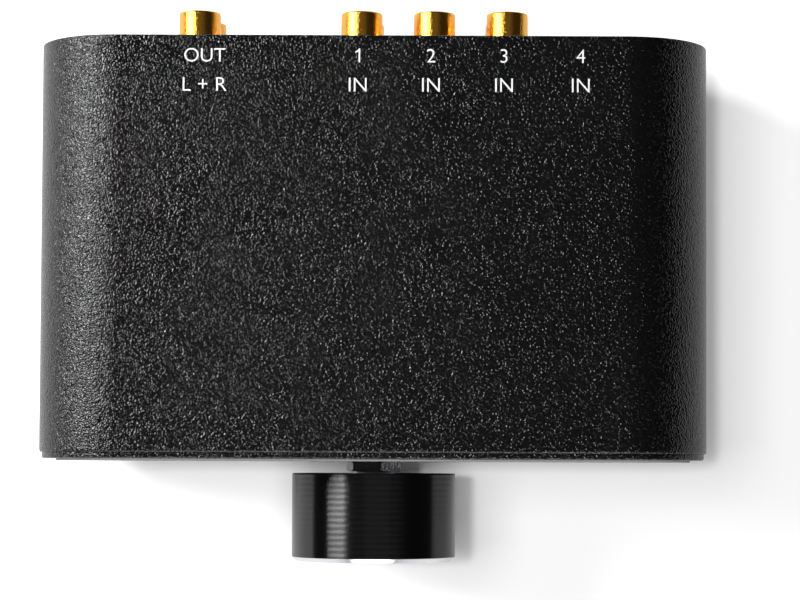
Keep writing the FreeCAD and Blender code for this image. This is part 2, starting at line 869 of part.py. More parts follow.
def socket_terminals(name, x):
    """Two centre contacts with their board strips, and the ground plate between both shells."""
    face = socket_tip - size["insulator_recess"]
    shoulder, floor = face - size["pin_hole_lip"] - size["close_gap"], face - size["pin_hole_depth"]
    back = -size["housing_depth"] - size["strip_gap"]
    far = back - size["strip_thickness"]
    low = size["board_underside"] - size["pin_tail"]
    wide = size["strip_width"] / 2
    pieces = []
    for side, height in ((-1, size["lower_row_height"]), (1, upper_row_height)):
        tail_start = floor - size["pin_hole_lip"] + size["close_gap"]
        outline = [
            (as_size(0), far),
            (size["contact_tail_radius"], far),
            (size["contact_tail_radius"], tail_start),
            (size["contact_radius"], tail_start),
            (size["contact_radius"], shoulder),
            (size["pin_hole_radius"], shoulder),
            (size["pin_hole_radius"], floor),
            (as_size(0), floor),
        ]
        tube = place(turned("contact", outline), z=height)
        edge = side * (size["strip_offset"] + wide)
        reach = (edge, as_size(0)) if side < 0 else (as_size(0), edge)
        arm = box("arm", reach, (far, back), (height - wide, height + wide))
        leg_at = side * size["strip_offset"]
        leg = box("leg", (leg_at - wide, leg_at + wide), (far, back), (low, height + wide))
        pieces.append(joined("centre_contact", [tube, arm, leg]))
    rear = -size["flange_thickness"]
    front, half = rear - size["ground_thickness"], size["ground_half_width"]
    tall = (board_top + size["strip_gap"], upper_row_height + half)
    sheet = box("ground", (-half, half), (front, rear), tall)
    foot = box("ground_foot", (-wide, wide), (front, rear), (low, size["lower_row_height"]))
    opening = size["socket_radius"] - size["socket_wall"] + size["close_gap"]
    holes = [
        rod("ground_hole", opening, front - PAST, rear + PAST, 0, height)
        for height in row_heights
    ]
    screw_hole = size["socket_screw_radius"] + size["fit_gap"]
    holes.append(rod("ground_screw_hole", screw_hole, front - PAST, rear + PAST, 0, middle_row_height))
    pieces.append(carved("ground_plate", joined("ground_joined", [sheet, foot]), holes))
    node(f"{name}_terminals", group("terminal_set", pieces), x, panel_inner)


def sockets():
    """Every phono pair: left channel above in white, right channel below in red."""
    for name, x in socket_places.items():
        socket_housing(name, x)
        socket_shells(name, x)
        socket_insulator(f"{name}_left_insulator", x, upper_row_height)
        socket_insulator(f"{name}_right_insulator", x, size["lower_row_height"])
        socket_terminals(name, x)


def aux_socket():
    """Small stereo socket on the board, its nose flush with the rear panel."""
    wide, thick, mouth = size["aux_half_width"], size["aux_spring_thickness"], size["panel_thickness"]
    tall = (board_top, board_top + size["aux_height"])
    block = box("aux_block", (-wide, wide), (-size["aux_depth"], as_size(0)), tall)
    nose = rod("aux_nose", size["aux_nose_radius"], -size["aux_depth"] / 2, mouth, 0, aux_height)
    bore_end = mouth - size["aux_bore_length"]
    bore = rod("aux_bore", size["aux_bore_radius"], bore_end, mouth + PAST, 0, aux_height)
    body = carved("aux_bored", joined("aux_joined", [block, nose]), [bore])
    node("aux_jack_body", body, aux_place, panel_inner)
    springs = []
    half, low = size["aux_spring_width"] / 2, size["board_underside"] - size["pin_tail"]
    for side, y in aux_pin_spots():
        x = (wide, wide + thick) if side > 0 else (-wide - thick, -wide)
        springs.append(box("aux_spring", x, (y - half, y + half), (low, aux_height)))
    node("aux_jack_springs", group("aux_spring_set", springs), aux_place)


def knob():
    """Knob in four pieces: hollow body, polished rim, inlaid face with its pointer, brass insert."""
    radius, long, gap = size["knob_radius"], size["knob_length"], size["close_gap"]
    seat = -long + size["knob_seat"]
    hollow_floor = seat + size["knob_web"]
    hub, bore, hollow = size["hub_radius"], size["insert_radius"] + gap, radius - size["knob_skirt"]
    counterbore = size["trim_spigot_radius"] + gap
    hub_back, bore_end = -size["hub_recess"], seat + size["insert_cover"]
    body = [
        (bore, bore_end),
        (bore, hub_back),
        (hub, hub_back),
        (hub, hollow_floor),
        (hollow, hollow_floor),
        (hollow, as_size(0)),
        (radius, as_size(0)),
        (radius, -long),
        (counterbore, -long),
        (counterbore, seat),
        (as_size(0), seat),
        (as_size(0), bore_end),
    ]
    on_axis = {"y": knob_back, "z": size["knob_height"], "turn": rest_angle}
    node("knob_body", turned("knob_body", body), **on_axis)
    chamfer, inner = size["knob_chamfer"], size["trim_inner_radius"]
    trim = [
        (radius, -long),
        (radius - chamfer, -long - chamfer),
        (inner, -long - chamfer),
        (inner, seat - gap),
        (size["trim_spigot_radius"], seat - gap),
        (size["trim_spigot_radius"], -long),
    ]
    node("knob_trim_ring", turned("knob_trim", trim), **on_axis)
    front = -long - chamfer + size["face_recess"]
    outline = [(as_size(0), seat), (inner - gap, seat), (inner - gap, front), (as_size(0), front)]
    disc = turned("knob_disc", outline)
    half, start, end = size["pointer_width"] / 2, size["pointer_start"], size["pointer_end"]
    slot = box("pointer_slot", (-half, half), (front - PAST, front + size["pointer_depth"]), (start, end))
    node("knob_face", carved("face_slotted", disc, [slot]), **on_axis)
    strip = box(
        "pointer", (gap - half, half - gap), (front - gap, front + size["pointer_depth"]),
        (start + gap, end - gap),
    )
    node("knob_pointer", group("pointer_strip", [strip]), **on_axis)
    bush = rod("insert", size["insert_radius"], bore_end, hub_back)
    play = size["screw_gap"]
    flat = box(
        "insert_flat", (-radius, radius), (bore_end - PAST, as_size(0)), (-radius, size["shaft_flat"] + play)
    )
    round_hole = rod("insert_bore", size["shaft_radius"] + play, bore_end - PAST, as_size(0))
    hole = shared("insert_hole", round_hole, flat)
    node("knob_insert", carved("insert_bored", bush, [hole]), **on_axis)


def shaft():
    """Steel shaft with a flat for the knob, a clip groove, and a small pivot at the rear."""
    radius = size["shaft_radius"]
    back = knob_back - size["hub_recess"]
    front = back - size["flat_length"]
    groove = bush_front - size["close_gap"]
    groove_end = groove - size["clip_thickness"] - size["close_gap"]
    neck = radius - size["clip_groove"]
    outline = [
        (as_size(0), front),
        (radius, front),
        (radius, groove_end),
        (neck, groove_end),
        (neck, groove),
        (radius, groove),
        (radius, chamber_rear - size["running_gap"]),
        (size["pivot_radius"], chamber_rear - size["running_gap"]),
        (size["pivot_radius"], base_rear),
        (as_size(0), base_rear),
    ]
    bar = turned("shaft_bar", outline)
    flat = box("shaft_cut", (-radius, radius), (front - PAST, back), (size["shaft_flat"], radius + PAST))
    node("shaft", carved("shaft_flatted", bar, [flat]), z=size["knob_height"], turn=rest_angle)
    ends = (groove_end + size["close_gap"] / 2, groove - size["close_gap"] / 2)
    ring = rod("clip_ring", size["clip_radius"], *ends)
    hole = rod("clip_hole", neck + size["screw_gap"], front, as_size(0))
    half = size["clip_opening"] / 2
    mouth = box("clip_mouth", (-half, half), (front, as_size(0)), (-size["clip_radius"] - PAST, as_size(0)))
    node("shaft_clip", carved("clip_cut", ring, [hole, mouth]), z=size["knob_height"], turn=rest_angle)


def bush_and_nut():
    """Die-cast switch front with its threaded bush, the nut that clamps it and a washer."""
    half, height = size["switch_half"], size["knob_height"]
    plate = box("switch_plate", (-half, half), (switch_front, chamber_front), (-half, half))
    tube = rod("bush", size["bush_radius"], bush_front, chamber_front)
    wide, spot = size["peg_width"] / 2, size["peg_place"]
    low = size["plug_thickness"] - size["peg_depth"] + size["fit_gap"]
    peg = box("peg", (spot - wide, spot + wide), (low, chamber_front), (-wide, wide))
    play, end = size["shaft_radius"] + size["running_gap"], chamber_front + PAST
    bore = rod("bush_bore", play, bush_front - PAST, end)
    holes = [bore] + rivet_holes(switch_front - PAST, end)
    node("switch_bush", carved("bush_bored", joined("bush_joined", [plate, tube, peg]), holes), z=height)
    prism = doc.addObject("Part::Prism", unused("nut"))
    prism.Polygon = 6
    bind(prism, "Circumradius", size["nut_flats"] / 2 / cosine(30))
    bind(prism, "Height", size["nut_thickness"])
    place(prism, 0, nut_front, 0, TO_Y)
    thread = rod("nut_thread", size["bush_radius"] + size["close_gap"], nut_front - PAST, plate_front + PAST)
    node("switch_nut", carved("nut_bored", prism, [thread]), z=height, turn=size["nut_turn"])
    washer = rod("washer", size["washer_radius"], size["plug_thickness"], switch_front)
    opening = rod("washer_hole", size["bush_radius"] + size["fit_gap"], as_size(0), chamber_front)
    node("lock_washer", carved("washer_cut", washer, [opening]), z=height)


def rivet_spots():
    spread = size["rivet_place"]
    return [(x * spread, z * spread) for x in (-1, 1) for z in (-1, 1)]


def rivet_holes(start, end):
    bore = size["rivet_radius"] + size["close_gap"]
    return [rod("rivet_hole", bore, start, end, x, z) for x, z in rivet_spots()]


def switch_case():
    """Switch housing with end stops and the spring's pocket, its base, and four rivets."""
    half, height = size["switch_half"], size["knob_height"]
    block = box("switch_block", (-half, half), (chamber_front, chamber_rear), (-half, half))
    chamber = rod("chamber", size["chamber_radius"], chamber_front - PAST, chamber_rear + PAST)
    wide = size["spring_half_length"] + size["head_gap"]
    star_front = chamber_front + size["rotor_start"]
    high = size["spring_end_height"] + size["spring_thickness"] + size["close_gap"]
    lug_front = star_front + size["star_thickness"]
    pocket = box("spring_pocket", (-wide, wide), (chamber_front - PAST, lug_front), (as_size(0), high))
    holes = [chamber, pocket] + rivet_holes(chamber_front - PAST, chamber_rear + PAST)
    hollow = carved("switch_hollow", block, holes)
    width = size["lug_width"] / 2
    ends = (lug_front + size["fit_gap"], lug_front + size["carrier_thickness"])
    stops = []
    for side in (-1, 1):
        block = box("stop_block", (-width, width), ends, (size["stop_radius"], size["chamber_radius"] + PAST))
        angle = 180 + side * (size["travel"] / 2 + size["stop_spread"])
        stops.append(place(group("stop", [block]), turn=angle))
    node("switch_housing", joined("switch_joined", [hollow] + stops), z=height)
    base = box("base_block", (-half, half), (chamber_rear, base_rear), (-half, half))
    play, through = size["switch_pin_radius"] + size["close_gap"], (chamber_rear - PAST, base_rear + PAST)
    holes = [rod("base_hole", play, *through, x, z) for x, z in switch_pin_spots()]
    holes.append(rod("pivot_hole", size["pivot_radius"] + size["running_gap"], *through))
    holes += rivet_holes(*through)
    node("switch_base", carved("base_bored", base, holes), z=height)
    rivets = []
    for x, z in rivet_spots():
        outline = [
            (as_size(0), switch_front - size["rivet_head"]),
            (size["rivet_head_radius"], switch_front - size["rivet_head"]),
            (size["rivet_head_radius"], switch_front),
            (size["rivet_radius"], switch_front),
            (size["rivet_radius"], base_rear),
            (as_size(0), base_rear),
        ]
        rivets.append(place(turned("rivet", outline), x, 0, z))
    node("switch_rivets", group("rivet_set", rivets), z=height)


def pole_angles():
    """Angles of the switched contacts, both poles: each pole has one per position."""
    return [
        pole + rest_angle + step * size["detent_angle"] for pole in (0, 180) for step in range(POSITIONS)
    ]


def switch_pin_spots():
    """Places of all switch pins about the shaft: one per contact, and one per common track."""
    spots = [(size["pad_place"] * sine(angle), size["pad_place"] * cosine(angle)) for angle in pole_angles()]
    for pole in (0, 180):
        spots.append((size["track_radius"] * sine(pole), size["track_radius"] * cosine(pole)))
    return spots


def switch_contacts():
    """Fixed contacts on the base: a round pad per position and a curved common track per pole."""
    front, tail = chamber_rear - size["pad_thickness"], switch_board_rear + size["switch_pin_tail"]
    spots = switch_pin_spots()
    pieces = []
    for x, z in spots[:-2]:
        head = rod("pad", size["pad_radius"], front, chamber_rear, x, z)
        pin = rod("pad_pin", size["switch_pin_radius"], front, tail, x, z)
        pieces.append(joined("contact_pad", [head, pin]))
    inner = size["track_radius"] - size["track_width"] / 2
    outer = inner + size["track_width"]
    sweep = size["travel"] + 2 * size["track_margin"]
    for number, (x, z) in enumerate(spots[-2:]):
        sector = rod("track", outer, front, chamber_rear, sweep=sweep)
        ring = carved("track_ring", sector, [rod("track_hole", inner, front - PAST, chamber_rear + PAST)])
        turned_ring = place(group("track_turned", [ring]), turn=number * 180 - 90 - sweep / 2)
        pin = rod("track_pin", size["switch_pin_radius"], front, tail, x, z)
        pieces.append(joined("contact_track", [turned_ring, pin]))
    node("switch_contacts", group("contact_set", pieces), z=size["knob_height"])


def rotor():
    """Rotor with its detent star and stop lug, and the two wipers that it carries."""
    front = chamber_front + size["rotor_start"]
    middle, rear = front + size["star_thickness"], front + size["star_thickness"] + size["carrier_thickness"]
    star = rod("star", size["star_radius"], front, middle)
    notches = []
    for step in range(round(360 / size["detent_angle"].value)):
        angle = step * size["detent_angle"] - rest_angle
        x, z = size["notch_place"] * sine(angle), size["notch_place"] * cosine(angle)
        notches.append(rod("notch", size["notch_radius"], front - PAST, middle, x, z))
    half = size["lug_width"] / 2
    lug = box("lug", (-half, half), (middle + size["fit_gap"], rear), (-size["lug_radius"], as_size(0)))
    carrier = rod("carrier", size["carrier_radius"], middle, rear)
    solid = joined("rotor_joined", [carved("star_notched", star, notches), carrier, lug])
    bore = rod("rotor_bore", size["shaft_radius"] + size["screw_gap"], front - PAST, rear + PAST)
    node("rotor", carved("rotor_bored", solid, [bore]), z=size["knob_height"], turn=rest_angle)
    wide, plate_end = size["wiper_width"] / 2, rear + size["wiper_thickness"]
    tip = chamber_rear - size["pad_thickness"] - size["wiper_gap"]
    wipers = []
    for side in (-1, 1):
        low, high = side * size["wiper_start"], side * size["wiper_end"]
        span = (low, high) if side > 0 else (high, low)
        plate = box("wiper_plate", (-wide, wide), (rear, plate_end), span)
        studs = [
            rod("wiper_stud", size["stud_radius"], rear, tip, 0, side * reach)
            for reach in (size["track_radius"], size["pad_place"])
        ]
        wipers.append(joined("wiper", [plate] + studs))
    node("wipers", group("wiper_pair", wipers), z=size["knob_height"], turn=rest_angle)


def detent_spring():
    """Leaf spring whose bump lies in a notch of the star."""
    half, bump, thick = size["spring_half_length"], size["spring_bump_half"], size["spring_thickness"]
    end, root, tip = size["spring_end_height"], size["spring_bump_root"], size["spring_bump_tip"]
    lower = [(-half, end), (-bump, root), (as_size(0), tip), (bump, root), (half, end)]
    outline = lower + [(x, z + thick) for x, z in lower[::-1]]
    body, sketch = body_with_outline("leaf", "XZ_Plane", outline)
    pad(body, sketch, size["spring_width"])
    front = chamber_front + size["rotor_start"] + (size["star_thickness"] - size["spring_width"]) / 2
    node("detent_spring", body, y=front, z=size["knob_height"])


def switch_board():
    """Upright board that the switch's pins are soldered into."""
    half, rise = size["switch_board_half"], size["switch_board_rise"]
    board = box("upright_board", (-half, half), (base_rear, switch_board_rear), (-rise, rise))
    play = size["switch_pin_radius"] + size["strip_gap"]
    through = (base_rear - PAST, switch_board_rear + PAST)
    holes = [rod("upright_hole", play, *through, x, z) for x, z in switch_pin_spots()]
    node("switch_board", carved("upright_drilled", board, holes), z=size["knob_height"])


def connectors():
    """A shrouded header on each board, a plug in each, and the flat cable between the plugs."""
    long, wide, tall = size["header_length"] / 2, size["header_width"] / 2, size["header_height"]
    wall, floor, gap = size["header_wall"], size["header_floor"], size["fit_gap"]
    height, turn_y = size["knob_height"] + size["header_rise"], panel_inner - size["header_place"]
    spots = {"switch": (TO_Y, switch_board_rear, height), "board": (UPRIGHT, turn_y, board_top)}
    long_in, wide_in = long - wall - gap, wide - wall - gap
    for name, (rotation, y, z) in spots.items():
        shroud = box("header", (-long, long), (-wide, wide), (as_size(0), tall))
        inside = (wall - long, long - wall), (wall - wide, wide - wall)
        well = box("header_well", *inside, (floor, tall + PAST))
        header = carved("header_cut", shroud, [well])
        plug = box("plug", (-long_in, long_in), (-wide_in, wide_in), (floor, floor + size["plug_height"]))
        for label, piece in (("header", header), ("plug", plug)):
            held = place(group("held", [piece]), rotation=rotation)
            node(f"{name}_{label}", group("connector", [held]), 0, y, z)
    half, bend = size["cable_thickness"] / 2, size["cable_bend"]
    start = switch_board_rear + floor + size["plug_height"]
    low, centre = board_top + floor + size["plug_height"], (turn_y - bend, height - bend)
    outline = [
        (start, height - half),
        (centre[0], height - half),
        (turn_y - half, centre[1], *centre),
        (turn_y - half, low),
        (turn_y + half, low),
        (turn_y + half, centre[1]),
        (centre[0], height + half, *centre),
        (start, height + half),
    ]
    body, sketch = body_with_outline("cable", "YZ_Plane", outline)
    feature = pad(body, sketch, size["cable_width"], rearward=False)
    feature.Midplane = True
    node("ribbon_cable", body)


top_shell()
bottom_shell()
front_panel()
front_plate()
rear_panel()
case_screws()
feet()
jack_board()
board_screws()
jack_screws()
sockets()
aux_socket()
knob()
shaft()
bush_and_nut()
switch_case()
switch_contacts()
rotor()
detent_spring()
switch_board()
connectors()
doc.recompute()

for thing in doc.Objects:
    if {"Invalid", "Error"} & set(thing.State):
        raise SystemExit(f"{thing.Name} failed: {thing.State}")
for name, piece in nodes.items():
    shape = piece.Shape
    if shape.isNull() or not shape.isValid() or not shape.Solids:
        raise SystemExit(f"{name} has no valid solid")
os.makedirs("parts", exist_ok=True)
for name, piece in nodes.items():
    piece.Shape.exportStep(f"parts/{name}.step")
    print(f"{name}: {len(piece.Shape.Solids)} solids, {piece.Shape.Volume:.1f} mm3")
print(f"{len(nodes)} nodes, {sum(len(piece.Shape.Solids) for piece in nodes.values())} solids")
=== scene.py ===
import bmesh
import bpy
import math
from mathutils import Matrix, Vector


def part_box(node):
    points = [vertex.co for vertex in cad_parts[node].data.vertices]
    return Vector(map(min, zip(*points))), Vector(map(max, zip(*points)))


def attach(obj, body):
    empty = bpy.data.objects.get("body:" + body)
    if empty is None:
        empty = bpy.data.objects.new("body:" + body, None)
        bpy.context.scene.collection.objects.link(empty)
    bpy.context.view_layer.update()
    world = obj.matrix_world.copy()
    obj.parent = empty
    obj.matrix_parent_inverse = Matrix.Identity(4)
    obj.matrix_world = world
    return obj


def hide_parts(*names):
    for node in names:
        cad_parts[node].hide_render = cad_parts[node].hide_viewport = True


# An audio source selector in a grained black case, seen from above.
# Every length is in metres: X runs to the right, Y from the front to the rear, Z up.

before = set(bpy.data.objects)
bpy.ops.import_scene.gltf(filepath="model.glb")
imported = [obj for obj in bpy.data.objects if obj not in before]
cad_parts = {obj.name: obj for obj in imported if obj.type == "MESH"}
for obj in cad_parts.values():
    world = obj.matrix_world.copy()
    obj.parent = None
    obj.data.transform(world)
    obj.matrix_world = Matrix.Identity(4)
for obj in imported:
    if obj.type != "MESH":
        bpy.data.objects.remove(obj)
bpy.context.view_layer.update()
MM = 0.001


# Camera and room
# The camera hangs half a metre above the front of the case and looks almost straight down.
# The key lamp stands at the left rear. Three lamps and a dim patch of ceiling hang overhead,
# and a window in front shows only in reflections.

camera_data = bpy.data.cameras.new("camera")
camera_data.sensor_width = 36
camera_data.lens = 110.4
camera_data.shift_x = -0.05
camera_data.shift_y = 0.075
camera = bpy.data.objects.new("camera", camera_data)
camera.location = Vector((13.12, -35.46, 523.89)) * MM
camera.rotation_euler = [math.radians(angle) for angle in (2.4528, -0.0313, 0.2304)]
bpy.context.scene.collection.objects.link(camera)
bpy.context.scene.camera = camera
bpy.context.scene.view_settings.view_transform = "Standard"


def add(tree, kind, links=None, **settings):
    """Add a node: settings are its own properties, and links give each input a value or a socket."""
    node = tree.nodes.new(kind)
    for name, value in settings.items():
        setattr(node, name, value)
    for name, value in (links or {}).items():
        if isinstance(value, bpy.types.NodeSocket):
            tree.links.new(value, node.inputs[name])
        else:
            node.inputs[name].default_value = value
    return node


def colour(code):
    """The linear colour of an sRGB hex value."""
    parts = [int(code[place : place + 2], 16) / 255 for place in (1, 3, 5)]
    return [part / 12.92 if part <= 0.04045 else ((part + 0.055) / 1.055) ** 2.4 for part in parts] + [1]


def finish(name, code, roughness, metallic=0.0, ior=1.5):
    """A new material: the material itself, its tree, its surface inputs and the places on the object."""
    material = bpy.data.materials.new(name)
    material.use_nodes = True
    tree = material.node_tree
    surface = tree.nodes["Principled BSDF"].inputs
    surface["Base Color"].default_value = colour(code)
    surface["Roughness"].default_value = roughness
    surface["Metallic"].default_value = metallic
    surface["IOR"].default_value = ior
    return material, tree, surface, add(tree, "ShaderNodeTexCoord").outputs["Object"]


def roughen(tree, surface, height, depth):
    """Let a height pattern, from 0 to 1, raise the surface by up to a depth."""
    bump = add(tree, "ShaderNodeBump", {"Height": height, "Strength": 1.0, "Distance": depth})
    tree.links.new(bump.outputs[0], surface["Normal"])


world = bpy.data.worlds.new("studio")
bpy.context.scene.world = world
world.use_nodes = True
room = world.node_tree
ROOM_LIGHT = 0.025
seen = add(room, "ShaderNodeLightPath").outputs
ambient = room.nodes["Background"]
ambient.inputs["Strength"].default_value = ROOM_LIGHT
ambient.inputs["Color"].default_value = colour("#ffffff")
backdrop = add(room, "ShaderNodeBackground", {"Color": colour("#ffffff"), "Strength": 1.0})
mixed = add(room, "ShaderNodeMixShader", {
    0: seen["Is Camera Ray"], 1: ambient.outputs[0], 2: backdrop.outputs[0],
})
room.links.new(mixed.outputs[0], room.nodes["World Output"].inputs["Surface"])


def lamp(name, place, target, width, height, radiance, mirrored=True, lighting=True):
    """A soft rectangular lamp that faces its target. Radiance 1 looks as bright as white paper.

    A lamp that isn't mirrored shows in no reflection, and one without lighting shows only there.
    """
    data = bpy.data.lights.new(name, "AREA")
    data.shape = "RECTANGLE"
    data.size, data.size_y, data.energy = width, height, radiance * math.pi * width * height
    thing = bpy.data.objects.new(name, data)
    thing.location = place
    thing.rotation_euler = (Vector(target) - Vector(place)).to_track_quat("-Z", "Y").to_euler()
    thing.visible_camera = False
    thing.visible_glossy = mirrored
    thing.visible_diffuse = lighting
    bpy.context.scene.collection.objects.link(thing)


lamp("key_lamp", (-0.43, 0.16, 0.37), (0, 0, 0.04), 0.26, 0.27, 21)
lamp("fill_lamp", (0.05, -0.25, 1.6), (0, 0, 0), 0.6, 0.5, 13.5, mirrored=False)
lamp("top_lamp", (-0.21, 0, 1.6), (0, 0, 0), 0.1, 0.1, 280, mirrored=False)
lamp("left_lamp", (-0.5, 0.05, 1.6), (0, 0, 0), 0.6, 0.5, 11.5, mirrored=False)
lamp("ceiling_patch", (0.17, 0, 1.6), (0.17, 0, 0), 1.0, 1.6, 0.11)
lamp("front_window", (0, -1.3, 0.55), (0, 0, 0.03), 1.6, 1.1, 3.5, lighting=False)

# White paper. The camera sees it lit up almost to pure white, and the part mirrors a duller
# sheet, as the photograph shows both.
FLOOR_HALF = 3.0
PAPER_SEEN = "#e6e6e6"
PAPER_MIRRORED = "#bcbcbc"
corners = [(x * FLOOR_HALF, y * FLOOR_HALF, 0) for x, y in ((-1, -1), (1, -1), (1, 1), (-1, 1))]
floor_mesh = bpy.data.meshes.new("floor")
floor_mesh.from_pydata(corners, [], [(0, 1, 2, 3)])
floor = bpy.data.objects.new("floor", floor_mesh)
bpy.context.scene.collection.objects.link(floor)
paper, tree, surface, places = finish("white_paper", PAPER_MIRRORED, 0.9)
seen = add(tree, "ShaderNodeLightPath").outputs
sheet = add(tree, "ShaderNodeMix", {
    0: seen["Is Camera Ray"], 6: colour(PAPER_MIRRORED), 7: colour(PAPER_SEEN),
}, data_type="RGBA")
tree.links.new(sheet.outputs[2], surface["Base Color"])
floor_mesh.materials.append(paper)


# Case shells
# Two moulded shells of black ABS with a leather grain, one above the other.
# Each is one wall swept round its half of the section. Four screws hold them from below.

case_low, case_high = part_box("top_shell")
case_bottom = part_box("bottom_shell")[0].z
joint_height = case_low.z
CORNER_RADIUS = 17 * MM
WALL = 2.2 * MM
FRONT_ROUNDING = 0.5 * MM
REAR_ROUNDING = 0.25 * MM
JOINT_BEVEL = 0.18 * MM
ARC_STEPS = 32
SUPPORT = 0.04 * MM
SUPPORT_SHARE = 0.04
ROUND_SHARE = 0.45
MERGED = 0.0005 * MM
SHARP = math.radians(32)

# How far a cutting tool runs past a surface.
PAST = MM


def softened(outline, steps=5):
    """A closed outline with round corners: each corner is its place and its radius.

    A short straight stretch beside each round keeps the flats flat.
    """
    result = []
    corners = [Vector(corner[:2]) for corner in outline]
    for index, (corner, spec) in enumerate(zip(corners, outline)):
        radius = spec[2] if len(spec) > 2 else 0
        if not radius:
            result.append(corner)
            continue
        back, ahead = corners[index - 1] - corner, corners[(index + 1) % len(corners)] - corner
        reach = min(back.length, ahead.length)
        back.normalize()
        ahead.normalize()
        half = back.angle(ahead) / 2
        trim = min(radius / math.tan(half), reach * ROUND_SHARE)
        centre = corner + (back + ahead).normalized() * trim / math.cos(half)
        start, end = corner + back * trim, corner + ahead * trim
        turn = (start - centre).angle_signed(end - centre)
        support = min(SUPPORT, reach * SUPPORT_SHARE)
        result.append(start + back * support)
        for step in range(steps + 1):
            result.append(centre + Matrix.Rotation(-turn * step / steps, 2) @ (start - centre))
        result.append(end + ahead * support)
    return result


def section(half, low, high, radius, first_turn, last_turn):
    """Places on a rounded rectangle in the XZ plane, each with its outward direction.

    Turn 0 is the lower right round, 1 the upper right one, and so on.
    """
    centres = [(half - radius, low + radius), (half - radius, high - radius)]
    centres += [(radius - half, high - radius), (radius - half, low + radius)]
    path = []
    for turn in range(first_turn, last_turn + 1):
        centre = Vector(centres[turn % 4])
        for step in range(ARC_STEPS + 1):
            angle = math.radians(90 * (turn - 1) + 90 * step / ARC_STEPS)
            way = Vector((math.cos(angle), math.sin(angle)))
            place = centre + way * radius
            along = Vector((-way.y, way.x)) * SUPPORT
            if step == 0:
                path.append((place - along, way))
            path.append((place, way))
            if step == ARC_STEPS:
                path.append((place + along, way))
    return path


def piece_from(name, vertices, faces):
    """A mesh object with merged points, outward faces and smooth rounds."""
    mesh = bpy.data.meshes.new(name)
    mesh.from_pydata(vertices, [], faces)
    shape = bmesh.new()
    shape.from_mesh(mesh)
    bmesh.ops.remove_doubles(shape, verts=shape.verts, dist=MERGED)
    bmesh.ops.recalc_face_normals(shape, faces=shape.faces)
    shape.to_mesh(mesh)
    shape.free()
    mesh.shade_smooth()
    mesh.set_sharp_from_angle(angle=SHARP)
    thing = bpy.data.objects.new(name, mesh)
    bpy.context.scene.collection.objects.link(thing)
    return thing


def settled(thing):
    """Turn a piece's modifiers into plain mesh."""
    evaluated = thing.evaluated_get(bpy.context.evaluated_depsgraph_get())
    mesh = bpy.data.meshes.new_from_object(evaluated)
    mesh.name = thing.name
    thing.modifiers.clear()
    thing.data = mesh
    mesh.shade_smooth()
    mesh.set_sharp_from_angle(angle=SHARP)


def cut(thing, tools, operation="DIFFERENCE"):
    """Cut a piece with others, or join or cross it with them. The others are used up."""
    for tool in tools:
        change = thing.modifiers.new("cut", "BOOLEAN")
        change.operation, change.solver, change.object = operation, "EXACT", tool
    settled(thing)
    for tool in tools:
        bpy.data.objects.remove(tool)


def lofted(name, rings, closed_path=True):
    """A skin over rings of points that follow one another. Open ends get caps."""
    size = len(rings[0])
    vertices = [tuple(point) for ring in rings for point in ring]
    faces = []
    count = len(rings) if closed_path else len(rings) - 1
    for station in range(count):
        for index in range(size):
            a, b = station * size + index, station * size + (index + 1) % size
            step = size if station < len(rings) - 1 else -station * size
            faces.append((a, b, b + step, a + step))
    if not closed_path:
        faces.append(tuple(range(size)))
        faces.append(tuple(range(len(vertices) - size, len(vertices))))
    return piece_from(name, vertices, faces)


def turned(name, outline, across, height, way="y", steps=96):
    """A turned piece: the outline gives radius and place along its axis, which runs along Y or Z.

    The axis lies at X and Z where it runs along Y, and at X and Y where it runs along Z.
    """
    rings = []
    for step in range(steps):
        angle = 2 * math.pi * step / steps
        first, second = math.cos(angle), math.sin(angle)
        if way == "y":
            rings.append([(across + r * first, along, height + r * second) for r, along in outline])
        else:
            rings.append([(across + r * first, height + r * second, along) for r, along in outline])
    return lofted(name, rings)


def bar(radius, across, height, ends, way="y"):
    """A plain round bar that serves as a tool."""
    outline = [(0, ends[0]), (radius, ends[0]), (radius, ends[1]), (0, ends[1])]
    return turned("bar", outline, across, height, way, steps=64)


def done(thing, material, body, slot, *nodes):
    """Give a piece its finish and its body, and hide the CAD nodes that it stands for. The slot is not
    used.
    """
    if not thing.data.materials:
        thing.data.materials.append(material)
    if nodes:
        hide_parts(*nodes)
    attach(thing, body)


def half_wall(name, first_turn):
    """One shell: the wall's own section, swept along half of the case's outline."""
    rounds = section(case_high.x, case_bottom, case_high.z, CORNER_RADIUS, first_turn, first_turn + 1)
    path = [(place, way, 0) for place, way in rounds]
    ends = []
    for place, way in (rounds[0], rounds[-1]):
        stop = Vector((place.x, joint_height))
        inward = (place - stop).normalized()
        ends.append([
            (stop, way, JOINT_BEVEL),
            (stop + inward * JOINT_BEVEL, way, 0),
            (stop + inward * (JOINT_BEVEL + SUPPORT), way, 0),
        ])
    path = ends[0] + path + ends[1][::-1]
    front, rear = case_low.y, case_high.y
    outline = softened([
        (0, front, FRONT_ROUNDING), (WALL, front, REAR_ROUNDING), (WALL, rear, REAR_ROUNDING),
        (0, rear, REAR_ROUNDING),
    ])
    rings = []
    for place, way, inset in path:
        ring = []
        for depth, y in outline:
            spot = place - way * max(min(depth, WALL - inset), inset)
            ring.append((spot.x, max(min(y, rear - inset), front + inset), spot.y))
        rings.append(ring)
    return lofted(name, rings, closed_path=False)


